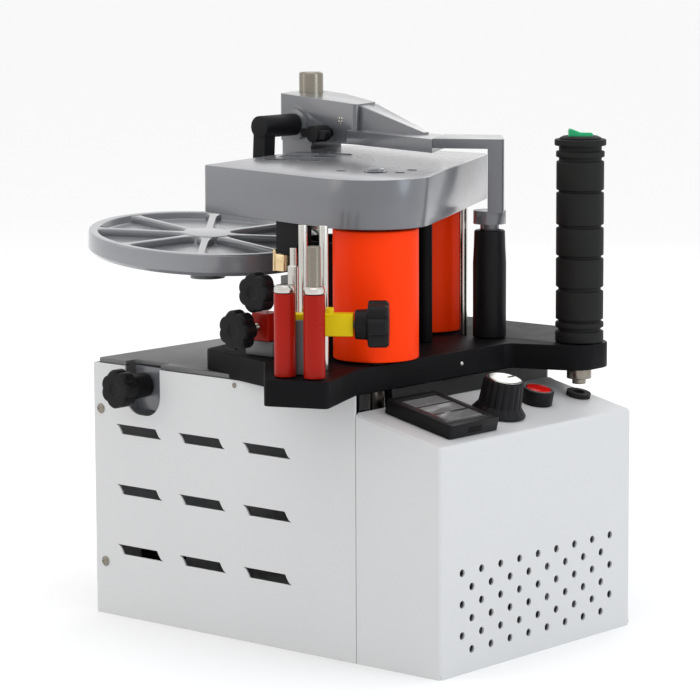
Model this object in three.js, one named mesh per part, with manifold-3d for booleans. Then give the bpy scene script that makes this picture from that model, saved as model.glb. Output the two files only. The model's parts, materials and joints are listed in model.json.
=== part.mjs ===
// Portable edge banding machine: a sheet-steel cabinet carries a cast base with two rubber feed rollers,
// a glue pot, tape guides, a chain cover, an overhead yoke, a tape tray and an upright grip.
// Units are millimetres, +Z is up. The origin is at the centre of the cabinet's flat underside.
// Inside the "bench" group the cabinet's front-left bottom corner is zero, +X runs along the louvred
// side towards the control end, and +Y runs from the louvred side to the rear side.
import * as THREE from 'three';
import { mergeVertices } from 'three/addons/utils/BufferGeometryUtils.js';
import Module from 'manifold-3d';

const wasm = await Module();
wasm.setup();

// ---- driving dimensions -------------------------------------------------------------------------
const GAP = 0.3;                 // air between parts that touch
const CABINET_LENGTH = 330;
const CABINET_WIDTH = 218;
const CABINET_HEIGHT = 188;      // top of the tall side panels
const TALL_LENGTH = 255;         // tall part; the control section fills the rest
const CONTROL_HIGH = 176;        // sloped control top, at the tall part
const CONTROL_LOW = 159.5;       // sloped control top, at the outer end
const SHEET = 1.5;               // sheet steel thickness
const DECK_TOP = 191.6;
const CASTING_TOP = 206.5;
const ROLLER_RADIUS = 29.9;
const ROLLER_BOTTOM = 208.5;
const ROLLER_TOP = 299;
const ROLLER_FRONT = new THREE.Vector2(238, 42);
const ROLLER_REAR = new THREE.Vector2(167, 182);
const ROLLER_SHAFT_RADIUS = 8;
const COVER_BOTTOM = 301;
const COVER_TOP = 335;
const COVER_WALL = 4;
const COVER_MARGIN = 40;         // cover's front edge outside the front roller's axis
const COVER_SIDE = 37.4;         // cover's outer side edge outside the line through both roller axes
const CHAIN_PITCH_RADIUS = 17;
const GLUE_POT = new THREE.Vector2(175, 85);
const GLUE_POT_RADIUS = 35;
const glueAim = ROLLER_FRONT.clone().sub(GLUE_POT).normalize();
const GLUE_ROLLER = GLUE_POT.clone().addScaledVector(glueAim, 25);
const GLUE_ROLLER_RADIUS = 12;
const COLUMN = new THREE.Vector2(228, 182);
const YOKE_ANGLE = 208;          // degrees, from the column towards the steel rod
const YOKE_TOP = 352.5;
const ROD = new THREE.Vector2(15, 227);
const ROD_RADIUS = 9.4;
const ROD_TOP = 392;
const TRAY_CENTRE = new THREE.Vector3(40.3, 80.9, 280);
const TRAY_RADIUS = 88;
const TRAY_TILT = new THREE.Vector3(0.09, -0.031, 1).normalize();
const TRAY_RIM = 16;
const TRAY_FLOOR = 5.5;          // pocket floors below the rim's top
const BAR_ANGLE = 38;            // degrees, direction in which the tape-width bar slides
const RED_ROLLERS = [new THREE.Vector2(243, -58), new THREE.Vector2(264, -52)];
const GUIDE_RODS = [new THREE.Vector2(230.1, -24.8), new THREE.Vector2(243.9, -19.2)];
const GRIP = new THREE.Vector2(293, 204.6);
const GRIP_TOP = 353.5;
const GRIP_RADIUS = 17.2;
const SWITCH_TURN = 41;          // degrees, direction in which the grip's rocker lies
const KNOB_RADIUS = 14.4;
const HOLE_ROWS = 6;             // ventilation holes in the control end
const HOLES_PER_ROW = 9;

const degrees = THREE.MathUtils.degToRad;
const controlSlope = Math.atan2(CONTROL_HIGH - CONTROL_LOW, CABINET_LENGTH - TALL_LENGTH);

// ---- materials ----------------------------------------------------------------------------------
function finish(color, roughness, metalness) {
  return { color, roughness, metalness };
}
const WHITE_PAINT = finish(0xe9ebee, 0.45, 0.1);
const GREY_CASTING = finish(0x9b9da2, 0.5, 0.35);
const BLACK_ANODISED = finish(0x1b1b1e, 0.45, 0.5);
const DARK_DECK = finish(0x56575a, 0.5, 0.5);
const ORANGE_SILICONE = finish(0xff4a08, 0.5, 0);
const RED_SLEEVE = finish(0xb0261c, 0.4, 0.1);
const STEEL = finish(0xc8c6c0, 0.3, 0.9);
const BLACK_PLASTIC = finish(0x202022, 0.5, 0);
const BLACK_RUBBER = finish(0x252426, 0.8, 0);
const YELLOW_BAR = finish(0xe8d614, 0.4, 0.1);
const GREEN_LENS = finish(0x14b87a, 0.3, 0);
const RED_LENS = finish(0xc02028, 0.3, 0);
const GREY_WINDOW = finish(0x6f7176, 0.3, 0);
const BOARD_GREEN = finish(0x1f6b3a, 0.6, 0);

// ---- geometry helpers -----------------------------------------------------------------------------
function weld(geometry) {
  const bare = geometry.clone();
  bare.deleteAttribute('normal');
  bare.deleteAttribute('uv');
  const merged = mergeVertices(bare, 1e-3);
  const index = Array.from(merged.index.array);
  const kept = [];
  for (let i = 0; i < index.length; i += 3) {
    const [a, b, c] = index.slice(i, i + 3);
    if (a !== b && b !== c && c !== a) kept.push(a, b, c);
  }
  merged.setIndex(kept);
  return merged;
}

function toSolid(geometry) {
  const welded = weld(geometry);
  const mesh = new wasm.Mesh({
    numProp: 3,
    vertProperties: Float32Array.from(welded.attributes.position.array),
    triVerts: Uint32Array.from(welded.index.array),
  });
  return new wasm.Manifold(mesh);
}

function toGeometry(solid) {
  const mesh = solid.getMesh();
  const geometry = new THREE.BufferGeometry();
  geometry.setAttribute('position', new THREE.BufferAttribute(mesh.vertProperties, 3));
  geometry.setIndex(new THREE.BufferAttribute(mesh.triVerts, 1));
  return geometry;
}

function join(geometries) {
  return toGeometry(geometries.map(toSolid).reduce((all, next) => all.add(next)));
}

// Smallest convex solid round the points.
function hull(points) {
  return toGeometry(wasm.Manifold.hull(points));
}

function cut(geometry, cutters) {
  return toGeometry(cutters.map(toSolid).reduce((left, next) => left.subtract(next), toSolid(geometry)));
}

// Box from its lowest and highest corners.
function box(x0, y0, z0, x1, y1, z1) {
  const geometry = new THREE.BoxGeometry(x1 - x0, y1 - y0, z1 - z0);
  return geometry.translate((x0 + x1) / 2, (y0 + y1) / 2, (z0 + z1) / 2);
}

// Solid of revolution about +Z from [radius, height] pairs.
function turned(profile, segments = 16) {
  const points = profile.map(([radius, height]) => new THREE.Vector2(radius, height));
  return new THREE.LatheGeometry(points, segments).rotateX(Math.PI / 2);
}

// Upright cylinder from z0 to z1.
function rod(radius, z0, z1, segments = 12) {
  return turned([[0, z0], [radius, z0], [radius, z1], [0, z1]], segments);
}

// Upright ring with a bore.
function ring(outer, inner, z0, z1, segments = 16) {
  return turned([[inner, z0], [outer, z0], [outer, z1], [inner, z1], [inner, z0]], segments);
}

// Closed outline whose corners [x, y, radius] are rounded by arcs.
function outline(corners, steps = 4) {
  const shape = new THREE.Shape();
  const points = [];
  corners.forEach(([x, y, radius], i) => {
    const corner = new THREE.Vector2(x, y);
    const before = new THREE.Vector2(...corners.at(i - 1)).sub(corner).normalize();
    const after = new THREE.Vector2(...corners[(i + 1) % corners.length]).sub(corner).normalize();
    if (!radius) {
      points.push(corner);
      return;
    }
    const half = Math.acos(THREE.MathUtils.clamp(before.dot(after), -1, 1)) / 2;
    const start = corner.clone().addScaledVector(before, radius / Math.tan(half));
    const end = corner.clone().addScaledVector(after, radius / Math.tan(half));
    const middle = before.clone().add(after).normalize();
    const centre = corner.clone().addScaledVector(middle, radius / Math.sin(half));
    const from = start.clone().sub(centre).angle();
    let sweep = end.clone().sub(centre).angle() - from;
    if (sweep > Math.PI) sweep -= 2 * Math.PI;
    if (sweep < -Math.PI) sweep += 2 * Math.PI;
    for (let k = 0; k <= steps; k += 1) {
      const angle = from + sweep * k / steps;
      points.push(new THREE.Vector2(Math.cos(angle), Math.sin(angle)).multiplyScalar(radius).add(centre));
    }
  });
  shape.setFromPoints(points);
  return shape;
}

// Flat plate: an outline raised from z0 to z1.
function plate(shape, z0, z1) {
  const geometry = new THREE.ExtrudeGeometry(shape, { depth: z1 - z0, bevelEnabled: false, steps: 1 });
  return geometry.translate(0, 0, z0);
}

function circleHole(shape, x, y, radius, segments = 12) {
  const points = [];
  for (let k = 0; k < segments; k += 1) {
    const angle = -2 * Math.PI * k / segments;
    points.push(new THREE.Vector2(x + radius * Math.cos(angle), y + radius * Math.sin(angle)));
  }
  shape.holes.push(new THREE.Path(points));
}

// ---- scene graph ----------------------------------------------------------------------------------
const machine = new THREE.Group();
const bench = new THREE.Group();
bench.position.set(-CABINET_LENGTH / 2, -CABINET_WIDTH / 2, 0);
machine.add(bench);

function part(name, geometry, material, parent = bench) {
  const mesh = new THREE.Mesh(weld(geometry), new THREE.MeshStandardMaterial(material));
  mesh.name = name;
  parent.add(mesh);
  return mesh;
}

function place(mesh, x, y, z = 0, turn = 0) {
  mesh.position.set(x, y, z);
  mesh.rotation.z = degrees(turn);
  return mesh;
}

// ---- cabinet ----------------------------------------------------------------------------------------
const LOUVRE_WIDTH = 46;
const LOUVRE_HEIGHT = 7;
const LOUVRE_COLUMNS = [46, 109, 172];
const LOUVRE_ROWS = [50.5, 95.5, 140.5];
const NOTCH_CENTRE = 50.5;
const NOTCH_RADIUS = 17.5;
const NOTCH_FLOOR = 153;

// Side panel drawn in X and Z, raised by the sheet's thickness and stood up; louvres have slanted ends.
function sidePanel(notched, y0) {
  const corners = [[GAP, 0, 0], [TALL_LENGTH - GAP, 0, 0], [TALL_LENGTH - GAP, CABINET_HEIGHT, 0]];
  if (notched) {
    const low = NOTCH_FLOOR;
    corners.push([NOTCH_CENTRE + NOTCH_RADIUS, CABINET_HEIGHT, 0], [NOTCH_CENTRE + NOTCH_RADIUS, low, 14]);
    corners.push([NOTCH_CENTRE - NOTCH_RADIUS, low, 14], [NOTCH_CENTRE - NOTCH_RADIUS, CABINET_HEIGHT, 0]);
  }
  corners.push([GAP, CABINET_HEIGHT, 0]);
  const slots = [];
  for (const x of LOUVRE_COLUMNS) {
    for (const z of LOUVRE_ROWS) {
      const slot = outline([
        [x - LOUVRE_WIDTH / 2, z + LOUVRE_HEIGHT / 2, 0], [x + LOUVRE_WIDTH / 2 - 6, z + LOUVRE_HEIGHT / 2, 0],
        [x + LOUVRE_WIDTH / 2, z - LOUVRE_HEIGHT / 2, 0], [x - LOUVRE_WIDTH / 2 + 6, z - LOUVRE_HEIGHT / 2, 0],
      ]);
      slots.push(plate(slot, -1, SHEET + 1));
    }
  }
  const sheet = cut(plate(outline(corners), 0, SHEET), slots);
  return sheet.rotateX(Math.PI / 2).translate(0, y0 + SHEET, 0);
}
part('louvre_panel', sidePanel(true, 0), WHITE_PAINT);
part('rear_panel', sidePanel(false, CABINET_WIDTH - SHEET), WHITE_PAINT);

const INLET_Y = 60;
const INLET_Z = 40;
const backShape = outline([
  [SHEET + GAP, 0, 0], [CABINET_WIDTH - SHEET - GAP, 0, 0],
  [CABINET_WIDTH - SHEET - GAP, CABINET_HEIGHT, 0], [SHEET + GAP, CABINET_HEIGHT, 0],
]);
backShape.holes.push(new THREE.Path([
  [INLET_Y - 14, INLET_Z - 10], [INLET_Y - 14, INLET_Z + 10],
  [INLET_Y + 14, INLET_Z + 10], [INLET_Y + 14, INLET_Z - 10],
].map(([a, b]) => new THREE.Vector2(a, b))));
const backPanel = plate(backShape, 0, SHEET).rotateX(Math.PI / 2).rotateZ(Math.PI / 2);
part('back_panel', backPanel.translate(GAP, 0, 0), WHITE_PAINT);

part('bottom_plate', box(
  SHEET + 2 * GAP, SHEET + GAP, 0,
  CABINET_LENGTH - SHEET - GAP, CABINET_WIDTH - SHEET - GAP, 2,
), WHITE_PAINT);

const notchedDeck = outline([
  [4, 1, 3], [NOTCH_CENTRE - NOTCH_RADIUS, 1, 0], [NOTCH_CENTRE - NOTCH_RADIUS, 12, 3],
  [NOTCH_CENTRE + NOTCH_RADIUS, 12, 3], [NOTCH_CENTRE + NOTCH_RADIUS, 1, 0],
  [TALL_LENGTH - 1, 1, 0], [TALL_LENGTH - 1, CABINET_WIDTH - 1, 0], [4, CABINET_WIDTH - 1, 3],
]);
circleHole(notchedDeck, ROLLER_FRONT.x - 2, ROLLER_FRONT.y, 12);
part('deck_plate', plate(notchedDeck, CABINET_HEIGHT + GAP, DECK_TOP), DARK_DECK);

// Control section: one folded cover, open towards the tall part and underneath.
const METER = { x: 292, y: 47, long: 60, wide: 53, proud: 10 };
const SPEED_KNOB = { x: 297, y: 104.4, radius: 19.6, tall: 26 };
const POWER_ROCKER = { x: 292.2, y: 154.5, radius: 11.5, tall: 10.8 };
const GROMMET = { x: 294.8, y: 201.1 };

function controlTop(x) {
  return CONTROL_HIGH - (x - TALL_LENGTH) * Math.tan(controlSlope);
}

function controlProfile(inset, start) {
  const end = CABINET_LENGTH - inset;
  const corners = [
    [start, inset ? -1 : 0, 0], [end, inset ? -1 : 0, 0], [end, controlTop(end) - inset, 4 - inset],
    [start, controlTop(start) - inset, 0],
  ];
  return outline(corners, 3);
}

function profileAcross(shape, y0, y1) {
  return plate(shape, 0, y1 - y0).rotateX(Math.PI / 2).translate(0, y1, 0);
}

// Geometry standing square to the sloped control top, at (x, y).
function onControlTop(geometry, x, y) {
  return geometry.rotateY(controlSlope).translate(x, y, controlTop(x));
}

function controlCover() {
  const outer = profileAcross(controlProfile(0, TALL_LENGTH + GAP), 0, CABINET_WIDTH);
  const inner = profileAcross(controlProfile(SHEET, TALL_LENGTH - 5), SHEET, CABINET_WIDTH - SHEET);
  const cutters = [inner];
  for (let row = 0; row < HOLE_ROWS; row += 1) {
    const count = HOLES_PER_ROW - (row % 2);
    for (let k = 0; k < count; k += 1) {
      const y = 23.5 + 21.2 * (k + (row % 2) / 2);
      const z = 70.5 - 10.9 * row;
      cutters.push(rod(2.9, -4, 4, 6).rotateY(Math.PI / 2).translate(CABINET_LENGTH, y, z));
    }
  }
  const meterHole = box(-METER.long / 2 + 4, -METER.wide / 2 + 4, -6, METER.long / 2 - 4, METER.wide / 2 - 4, 6);
  cutters.push(onControlTop(meterHole, METER.x, METER.y));
  cutters.push(onControlTop(rod(3.4, -6, 6, 10), SPEED_KNOB.x, SPEED_KNOB.y));
  cutters.push(onControlTop(rod(10, -6, 6, 16), POWER_ROCKER.x, POWER_ROCKER.y));
  cutters.push(onControlTop(rod(5, -6, 6, 12), GROMMET.x, GROMMET.y));
  return cut(outer, cutters);
}
part('control_cover', controlCover(), WHITE_PAINT);

// ---- controls on the sloped top -----------------------------------------------------------------------
function controlGroup(x, y) {
  const group = new THREE.Group();
  group.position.set(x, y, controlTop(x));
  group.rotation.y = controlSlope;
  bench.add(group);
  return group;
}

const meter = controlGroup(METER.x, METER.y);
const meterShell = join([
  plate(outline([
    [-METER.long / 2, -METER.wide / 2, 2], [METER.long / 2, -METER.wide / 2, 2],
    [METER.long / 2, METER.wide / 2, 2], [-METER.long / 2, METER.wide / 2, 2],
  ], 2), GAP, METER.proud),
  box(-METER.long / 2 + 9, -METER.wide / 2 + 4.4, -30, METER.long / 2 - 4.4, METER.wide / 2 - 4.4, 1),
]);
const WINDOW = { x0: -24, x1: 23, half: 21.5, depth: 2 };
const meterPocket = box(WINDOW.x0, -WINDOW.half, METER.proud - WINDOW.depth, WINDOW.x1, WINDOW.half, 20);
part('controller_case', cut(meterShell, [meterPocket]), BLACK_PLASTIC, meter);
part('controller_window', box(
  WINDOW.x0 + GAP, -WINDOW.half + GAP, METER.proud - WINDOW.depth + GAP,
  WINDOW.x1 - GAP, WINDOW.half - GAP, METER.proud - 0.4,
), GREY_WINDOW, meter);

const speed = controlGroup(SPEED_KNOB.x, SPEED_KNOB.y);
part('speed_knob', turned([
  [0, 0.8], [SPEED_KNOB.radius, 0.8], [SPEED_KNOB.radius, 2.2], [15.6, 7.5], [14.4, SPEED_KNOB.tall - 1.5],
  [12.9, SPEED_KNOB.tall], [0, SPEED_KNOB.tall],
], 20), BLACK_PLASTIC, speed);

const power = controlGroup(POWER_ROCKER.x, POWER_ROCKER.y);
const powerBody = cut(
  turned([
    [0, -20], [9.6, -20], [9.6, GAP], [POWER_ROCKER.radius, GAP],
    [POWER_ROCKER.radius, POWER_ROCKER.tall], [0, POWER_ROCKER.tall],
  ], 24),
  [turned([[0, POWER_ROCKER.tall - 5], [9.4, POWER_ROCKER.tall - 5], [9.4, 20], [0, 20]], 24)],
);
part('power_switch_body', powerBody, BLACK_PLASTIC, power);
const rockerLens = turned([[0, -3.2], [8.2, -3.2], [8.8, -2], [8.8, 0.6], [0, 1.4]], 24);
place(part('power_rocker', rockerLens, RED_LENS, power), 0, 0, POWER_ROCKER.tall);

part('cable_grommet', onControlTop(ring(9, 4.2, GAP, 3.5, 16), GROMMET.x, GROMMET.y), BLACK_RUBBER);

// ---- base casting ---------------------------------------------------------------------------------------
function baseCasting() {
  const foot = plate(outline([
    [107, 6.5, 10], [150, -3, 60], [183, -13, 8], [239, -75, 4], [281, -58, 4], [257.5, -2, 8],
    [257.5, 166, 9], [284, 176.5, 8], [GRIP.x + 17.6, GRIP.y - 17.6, 17.4],
    [GRIP.x + 17.6, GRIP.y + 17.6, 17.4], [262, 236, 20], [240, 264, 14],
    [4, 264, 12], [0, 212, 12], [62, 200, 30], [84, 120, 40],
  ], 6), CABINET_HEIGHT + GAP, CASTING_TOP);
  const rabbet = box(-20, 0, 180, TALL_LENGTH + 1.5, CABINET_WIDTH + GAP, DECK_TOP + GAP);
  const cutters = [rabbet, rod(6.3, 180, 210).translate(GRIP.x, GRIP.y, 0)];
  for (const centre of [ROLLER_FRONT, ROLLER_REAR]) {
    cutters.push(rod(ROLLER_SHAFT_RADIUS + 0.4, 180, 210, 20).translate(centre.x, centre.y, 0));
    cutters.push(rod(14.3, 199.5, 210, 20).translate(centre.x, centre.y, 0));
  }
  return cut(foot, cutters);
}
part('base_casting', baseCasting(), BLACK_ANODISED);

function bearing(name, centre, z0, z1) {
  place(part(name, ring(14, ROLLER_SHAFT_RADIUS + 0.4, z0, z1, 20), STEEL), centre.x, centre.y);
}
bearing('bearing_front', ROLLER_FRONT, 199.8, CASTING_TOP);
bearing('bearing_rear', ROLLER_REAR, 199.8, CASTING_TOP);

// ---- feed rollers, shafts and chain ----------------------------------------------------------------------
function feedRoller(name, centre) {
  const sleeve = ring(ROLLER_RADIUS, ROLLER_SHAFT_RADIUS + GAP, ROLLER_BOTTOM, ROLLER_TOP, 28);
  place(part(name, sleeve, ORANGE_SILICONE), centre.x, centre.y);
}
feedRoller('feed_roller_front', ROLLER_FRONT);
feedRoller('feed_roller_rear', ROLLER_REAR);

const SHAFT_TOP = 328;
const SPROCKET_LOW = 309;
const SPROCKET_HIGH = 314;
const SHAFT_SHOULDER = 192.5;
function rollerShaft(name, centre, tail) {
  const profile = [
    ...tail, [ROLLER_SHAFT_RADIUS, SHAFT_SHOULDER], [ROLLER_SHAFT_RADIUS, SHAFT_TOP], [0, SHAFT_TOP],
  ];
  place(part(name, turned(profile), STEEL), centre.x, centre.y);
}
rollerShaft('roller_shaft_front', ROLLER_FRONT, [[0, 150], [6, 150], [6, SHAFT_SHOULDER]]);
rollerShaft('roller_shaft_rear', ROLLER_REAR, [[0, SHAFT_SHOULDER]]);

const TEETH = 14;
function sprocketGeometry() {
  const points = [];
  for (let k = 0; k < TEETH; k += 1) {
    for (const [share, radius] of [[0, 14], [0.5, 16.2]]) {
      const angle = 2 * Math.PI * (k + share) / TEETH;
      points.push(new THREE.Vector2(radius * Math.cos(angle), radius * Math.sin(angle)));
    }
  }
  const shape = new THREE.Shape(points);
  circleHole(shape, 0, 0, ROLLER_SHAFT_RADIUS + GAP, 12);
  return plate(shape, SPROCKET_LOW, SPROCKET_HIGH);
}
place(part('sprocket_front', sprocketGeometry(), STEEL), ROLLER_FRONT.x, ROLLER_FRONT.y);
place(part('sprocket_rear', sprocketGeometry(), STEEL), ROLLER_REAR.x, ROLLER_REAR.y);

// Chain loop: a racetrack band round both sprockets.
function chainLoop(offset) {
  const along = ROLLER_REAR.clone().sub(ROLLER_FRONT);
  const heading = along.angle();
  const points = [];
  for (const [centre, start] of [[ROLLER_REAR, heading - Math.PI / 2], [ROLLER_FRONT, heading + Math.PI / 2]]) {
    for (let k = 0; k <= 10; k += 1) {
      const angle = start + Math.PI * k / 10;
      points.push(new THREE.Vector2(Math.cos(angle), Math.sin(angle)).multiplyScalar(offset).add(centre));
    }
  }
  return points;
}
const chainShape = new THREE.Shape(chainLoop(CHAIN_PITCH_RADIUS + 2.5));
chainShape.holes.push(new THREE.Path(chainLoop(CHAIN_PITCH_RADIUS - 0.5).reverse()));
part('drive_chain', plate(chainShape, SPROCKET_LOW - 1, SPROCKET_HIGH + 1), STEEL);

// ---- chain cover ------------------------------------------------------------------------------------------
const edgeHeading = ROLLER_REAR.clone().sub(ROLLER_FRONT).angle() - Math.PI / 2;
function coverOutline(inset) {
  const reach = COVER_MARGIN - inset;
  const aside = COVER_SIDE - inset;
  const out = new THREE.Vector2(Math.cos(edgeHeading), Math.sin(edgeHeading)).multiplyScalar(aside);
  const side = ROLLER_FRONT.clone().add(out);
  const front = degrees(-12.3);
  const forward = new THREE.Vector2(Math.sin(front), -Math.cos(front)).multiplyScalar(reach);
  const nose = ROLLER_FRONT.clone().add(forward);
  const sideWay = new THREE.Vector2(-Math.sin(edgeHeading), Math.cos(edgeHeading));
  const frontWay = new THREE.Vector2(Math.cos(front), Math.sin(front));
  const between = side.clone().sub(nose);
  const cross = frontWay.x * sideWay.y - frontWay.y * sideWay.x;
  const run = (between.x * sideWay.y - between.y * sideWay.x) / cross;
  const corner = nose.clone().addScaledVector(frontWay, run);
  const rearY = 245 - inset;
  const rear = side.clone().addScaledVector(sideWay, (rearY - side.y) / sideWay.y);
  const leftX = (y) => 77 - (y - 48) * 0.2132 + inset;
  const frontY = nose.y + (leftX(48) - nose.x) * Math.tan(front);
  return outline([
    [leftX(frontY), frontY, 6 - inset], [corner.x, corner.y, reach], [rear.x, rear.y, 8 - inset],
    [leftX(rearY), rearY, 8 - inset],
  ], 8);
}

function chainCover() {
  const shell = plate(coverOutline(0), COVER_BOTTOM, COVER_TOP);
  const hollow = plate(coverOutline(COVER_WALL), COVER_BOTTOM - 5, COVER_TOP - COVER_WALL);
  return cut(shell, [hollow]);
}
part('chain_cover', chainCover(), GREY_CASTING);

const bearingPlate = coverOutline(COVER_WALL + GAP);
for (const centre of [ROLLER_FRONT, ROLLER_REAR]) {
  circleHole(bearingPlate, centre.x, centre.y, ROLLER_SHAFT_RADIUS + 0.4, 16);
}
circleHole(bearingPlate, GLUE_ROLLER.x, GLUE_ROLLER.y, 4.4, 12);
part('bearing_plate', plate(bearingPlate, COVER_BOTTOM, COVER_BOTTOM + 4), GREY_CASTING);

const COVER_POSTS = [[207, 133, 5.5], [205, 180, 3]];
COVER_POSTS.forEach(([x, y, radius], i) => {
  const material = i === 1 ? STEEL : BLACK_ANODISED;
  place(part(`cover_post_${i + 1}`, rod(radius, CASTING_TOP + GAP, COVER_BOTTOM - GAP, 14), material), x, y);
});

// ---- glue pot -----------------------------------------------------------------------------------------------
function gluePot() {
  const cup = turned([
    [0, CASTING_TOP + GAP], [GLUE_POT_RADIUS, CASTING_TOP + GAP], [GLUE_POT_RADIUS, 284],
    [30, 284], [30, 216], [0, 216],
  ], 20);
  const window = box(18, -14.5, 222, 50, 14.5, 272).rotateZ(glueAim.angle());
  return cut(cup, [window]);
}
place(part('glue_pot', gluePot(), BLACK_ANODISED), GLUE_POT.x, GLUE_POT.y);
place(part('glue_roller', turned([
  [0, 217], [4, 217], [4, 222], [GLUE_ROLLER_RADIUS, 223], [GLUE_ROLLER_RADIUS, 271], [4, 272],
  [4, SHAFT_TOP - 8], [0, SHAFT_TOP - 8],
], 14), STEEL), GLUE_ROLLER.x, GLUE_ROLLER.y);

// Studs run in plain bores along Y with a running clearance.
const STUD_RADIUS = 3;
const UPPER_KNOB = { x: 173.4, y: -4, z: 253.8 };
const LOWER_KNOB = { x: 161, y: -11, z: 227 };
const DECK_KNOB = { x: 46.5, y: -14, z: 174.6 };
const CLAMP_LEVER = { x: 32, y: 179, z: 354 };
const WING_KNOB = { x: 66, y: 178, z: 349 };
function studBore(knob, y0, y1) {
  return rod(STUD_RADIUS + 0.5, y0, y1, 12).rotateX(-Math.PI / 2).translate(knob.x, 0, knob.z);
}

// ---- column, yoke and steel rod --------------------------------------------------------------------------------
const SLEEVE_TOP = 285.7;
place(part('column_sleeve', turned([
  [0, CASTING_TOP + GAP], [12.2, CASTING_TOP + GAP], [12.2, 262], [11.2, SLEEVE_TOP],
  [7.4, SLEEVE_TOP], [7.4, 236], [0, 236],
], 20), BLACK_PLASTIC), COLUMN.x, COLUMN.y);

// Arm drawn with the column at zero and +X towards the steel rod, then turned into place.
const ARM_REACH = 40;
function armCasting() {
  return join([
    rod(7, 245, 292, 16),
    rod(12, 290.3, 300, 20),
    plate(outline([[-7.6, -12, 2], [-0.6, -12, 0], [-0.6, 12, 0], [-13, 12, 3]], 3), 299, YOKE_TOP),
    plate(outline([
      [-2.5, -34, 6], [ARM_REACH, -34, 0], [ARM_REACH, 12, 0], [-13, 12, 3],
    ], 3), YOKE_TOP - 7, YOKE_TOP),
  ]);
}
place(part('yoke_arm', armCasting(), GREY_CASTING), COLUMN.x, COLUMN.y, 0, YOKE_ANGLE);

const yokeWay = new THREE.Vector2(Math.cos(degrees(YOKE_ANGLE)), Math.sin(degrees(YOKE_ANGLE)));
const yokeSide = new THREE.Vector2(-yokeWay.y, yokeWay.x);
const jointFront = COLUMN.clone().addScaledVector(yokeWay, ARM_REACH + GAP).addScaledVector(yokeSide, 12);
const jointBack = COLUMN.clone().addScaledVector(yokeWay, ARM_REACH + GAP).addScaledVector(yokeSide, -34);
const BLOCK_TOP = 377;
const BLOCK_BOTTOM = 341;
const BLOCK_FALL = degrees(4.1);  // the block's top falls towards the arm
function yokeHead() {
  const block = plate(outline([
    [14, 192, 3], [93, 190, 3], [88, 219, 3], [40, 240, 14], [3, 243, 12], [3, 218, 8],
  ], 4), BLOCK_BOTTOM, BLOCK_TOP);
  const shoulder = plate(outline([
    [14.8, 192.8, 2], [46.4, 192, 0], [46.4, 221, 0], [34, 241, 0], [3.8, 242, 11], [3.8, 218.6, 7],
  ], 4), 320.6, BLOCK_BOTTOM + 2);
  const above = box(-40, 150, 0, 150, 300, 40).rotateY(BLOCK_FALL).translate(14, 0, BLOCK_TOP);
  const boss = rod(15, 322, 345, 20).translate(ROD.x, ROD.y + 2, 0);
  const leverBoss = rod(12, 0, 14, 20).rotateX(-Math.PI / 2).translate(CLAMP_LEVER.x, 187.6, CLAMP_LEVER.z);
  const flange = plate(outline([
    [jointFront.x, jointFront.y, 0], [jointBack.x, jointBack.y, 0], [88, 222, 4], [88, 183, 4],
  ], 3), 342, YOKE_TOP - 0.5);
  const rib = hull([
    [86, 196, 345], [86, 217, 345], [163.6, 185, 345], [162.4, 192, 345],
    [86, 196, 371], [86, 217, 371], [93.5, 196, 370], [89.5, 218, 370.5], [163.6, 185, 353.5], [162.4, 192, 353.5],
  ]);
  const coverSide = plate(coverOutline(-1), 300, COVER_TOP + 3);
  const bore = rod(ROD_RADIUS + 0.4, 300, 400, 20).translate(ROD.x, ROD.y, 0);
  const studs = [CLAMP_LEVER, WING_KNOB].map((knob) => studBore(knob, 180, 216));
  return cut(join([cut(block, [above]), shoulder, boss, leverBoss, flange, rib]), [coverSide, bore, ...studs]);
}
part('yoke_head', yokeHead(), GREY_CASTING);
place(part('steel_rod', turned([
  [0, CASTING_TOP + GAP], [ROD_RADIUS, CASTING_TOP + GAP], [ROD_RADIUS, ROD_TOP - 1],
  [ROD_RADIUS - 1, ROD_TOP], [0, ROD_TOP],
], 14), STEEL), ROD.x, ROD.y);

// ---- knobs ---------------------------------------------------------------------------------------------------
// Lobed knob facing -Y: head, hub and a threaded stud going +Y.
const LOBES = 7;
function lobedKnob(radius, headDepth, hubRadius, hubDepth, studLength) {
  const points = [];
  const count = LOBES * 4;
  for (let k = 0; k < count; k += 1) {
    const angle = 2 * Math.PI * k / count;
    const r = radius - radius * 0.055 * (1 - Math.cos(LOBES * angle));
    points.push(new THREE.Vector2(r * Math.cos(angle), r * Math.sin(angle)));
  }
  return join([
    plate(new THREE.Shape(points), 0, headDepth),
    rod(hubRadius, -hubDepth, 1, 12),
    rod(STUD_RADIUS, -hubDepth - studLength, 0, 8),
  ]).rotateX(Math.PI / 2);
}
place(part('upper_guide_knob', lobedKnob(KNOB_RADIUS, 11, 8, 6, 30), BLACK_PLASTIC),
  UPPER_KNOB.x, UPPER_KNOB.y, UPPER_KNOB.z);
place(part('lower_guide_knob', lobedKnob(KNOB_RADIUS, 11, 8, 6, 20), BLACK_PLASTIC),
  LOWER_KNOB.x, LOWER_KNOB.y, LOWER_KNOB.z);
place(part('deck_knob', lobedKnob(KNOB_RADIUS, 11, 9, 21, 16), BLACK_PLASTIC),
  DECK_KNOB.x, DECK_KNOB.y, DECK_KNOB.z);

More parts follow.
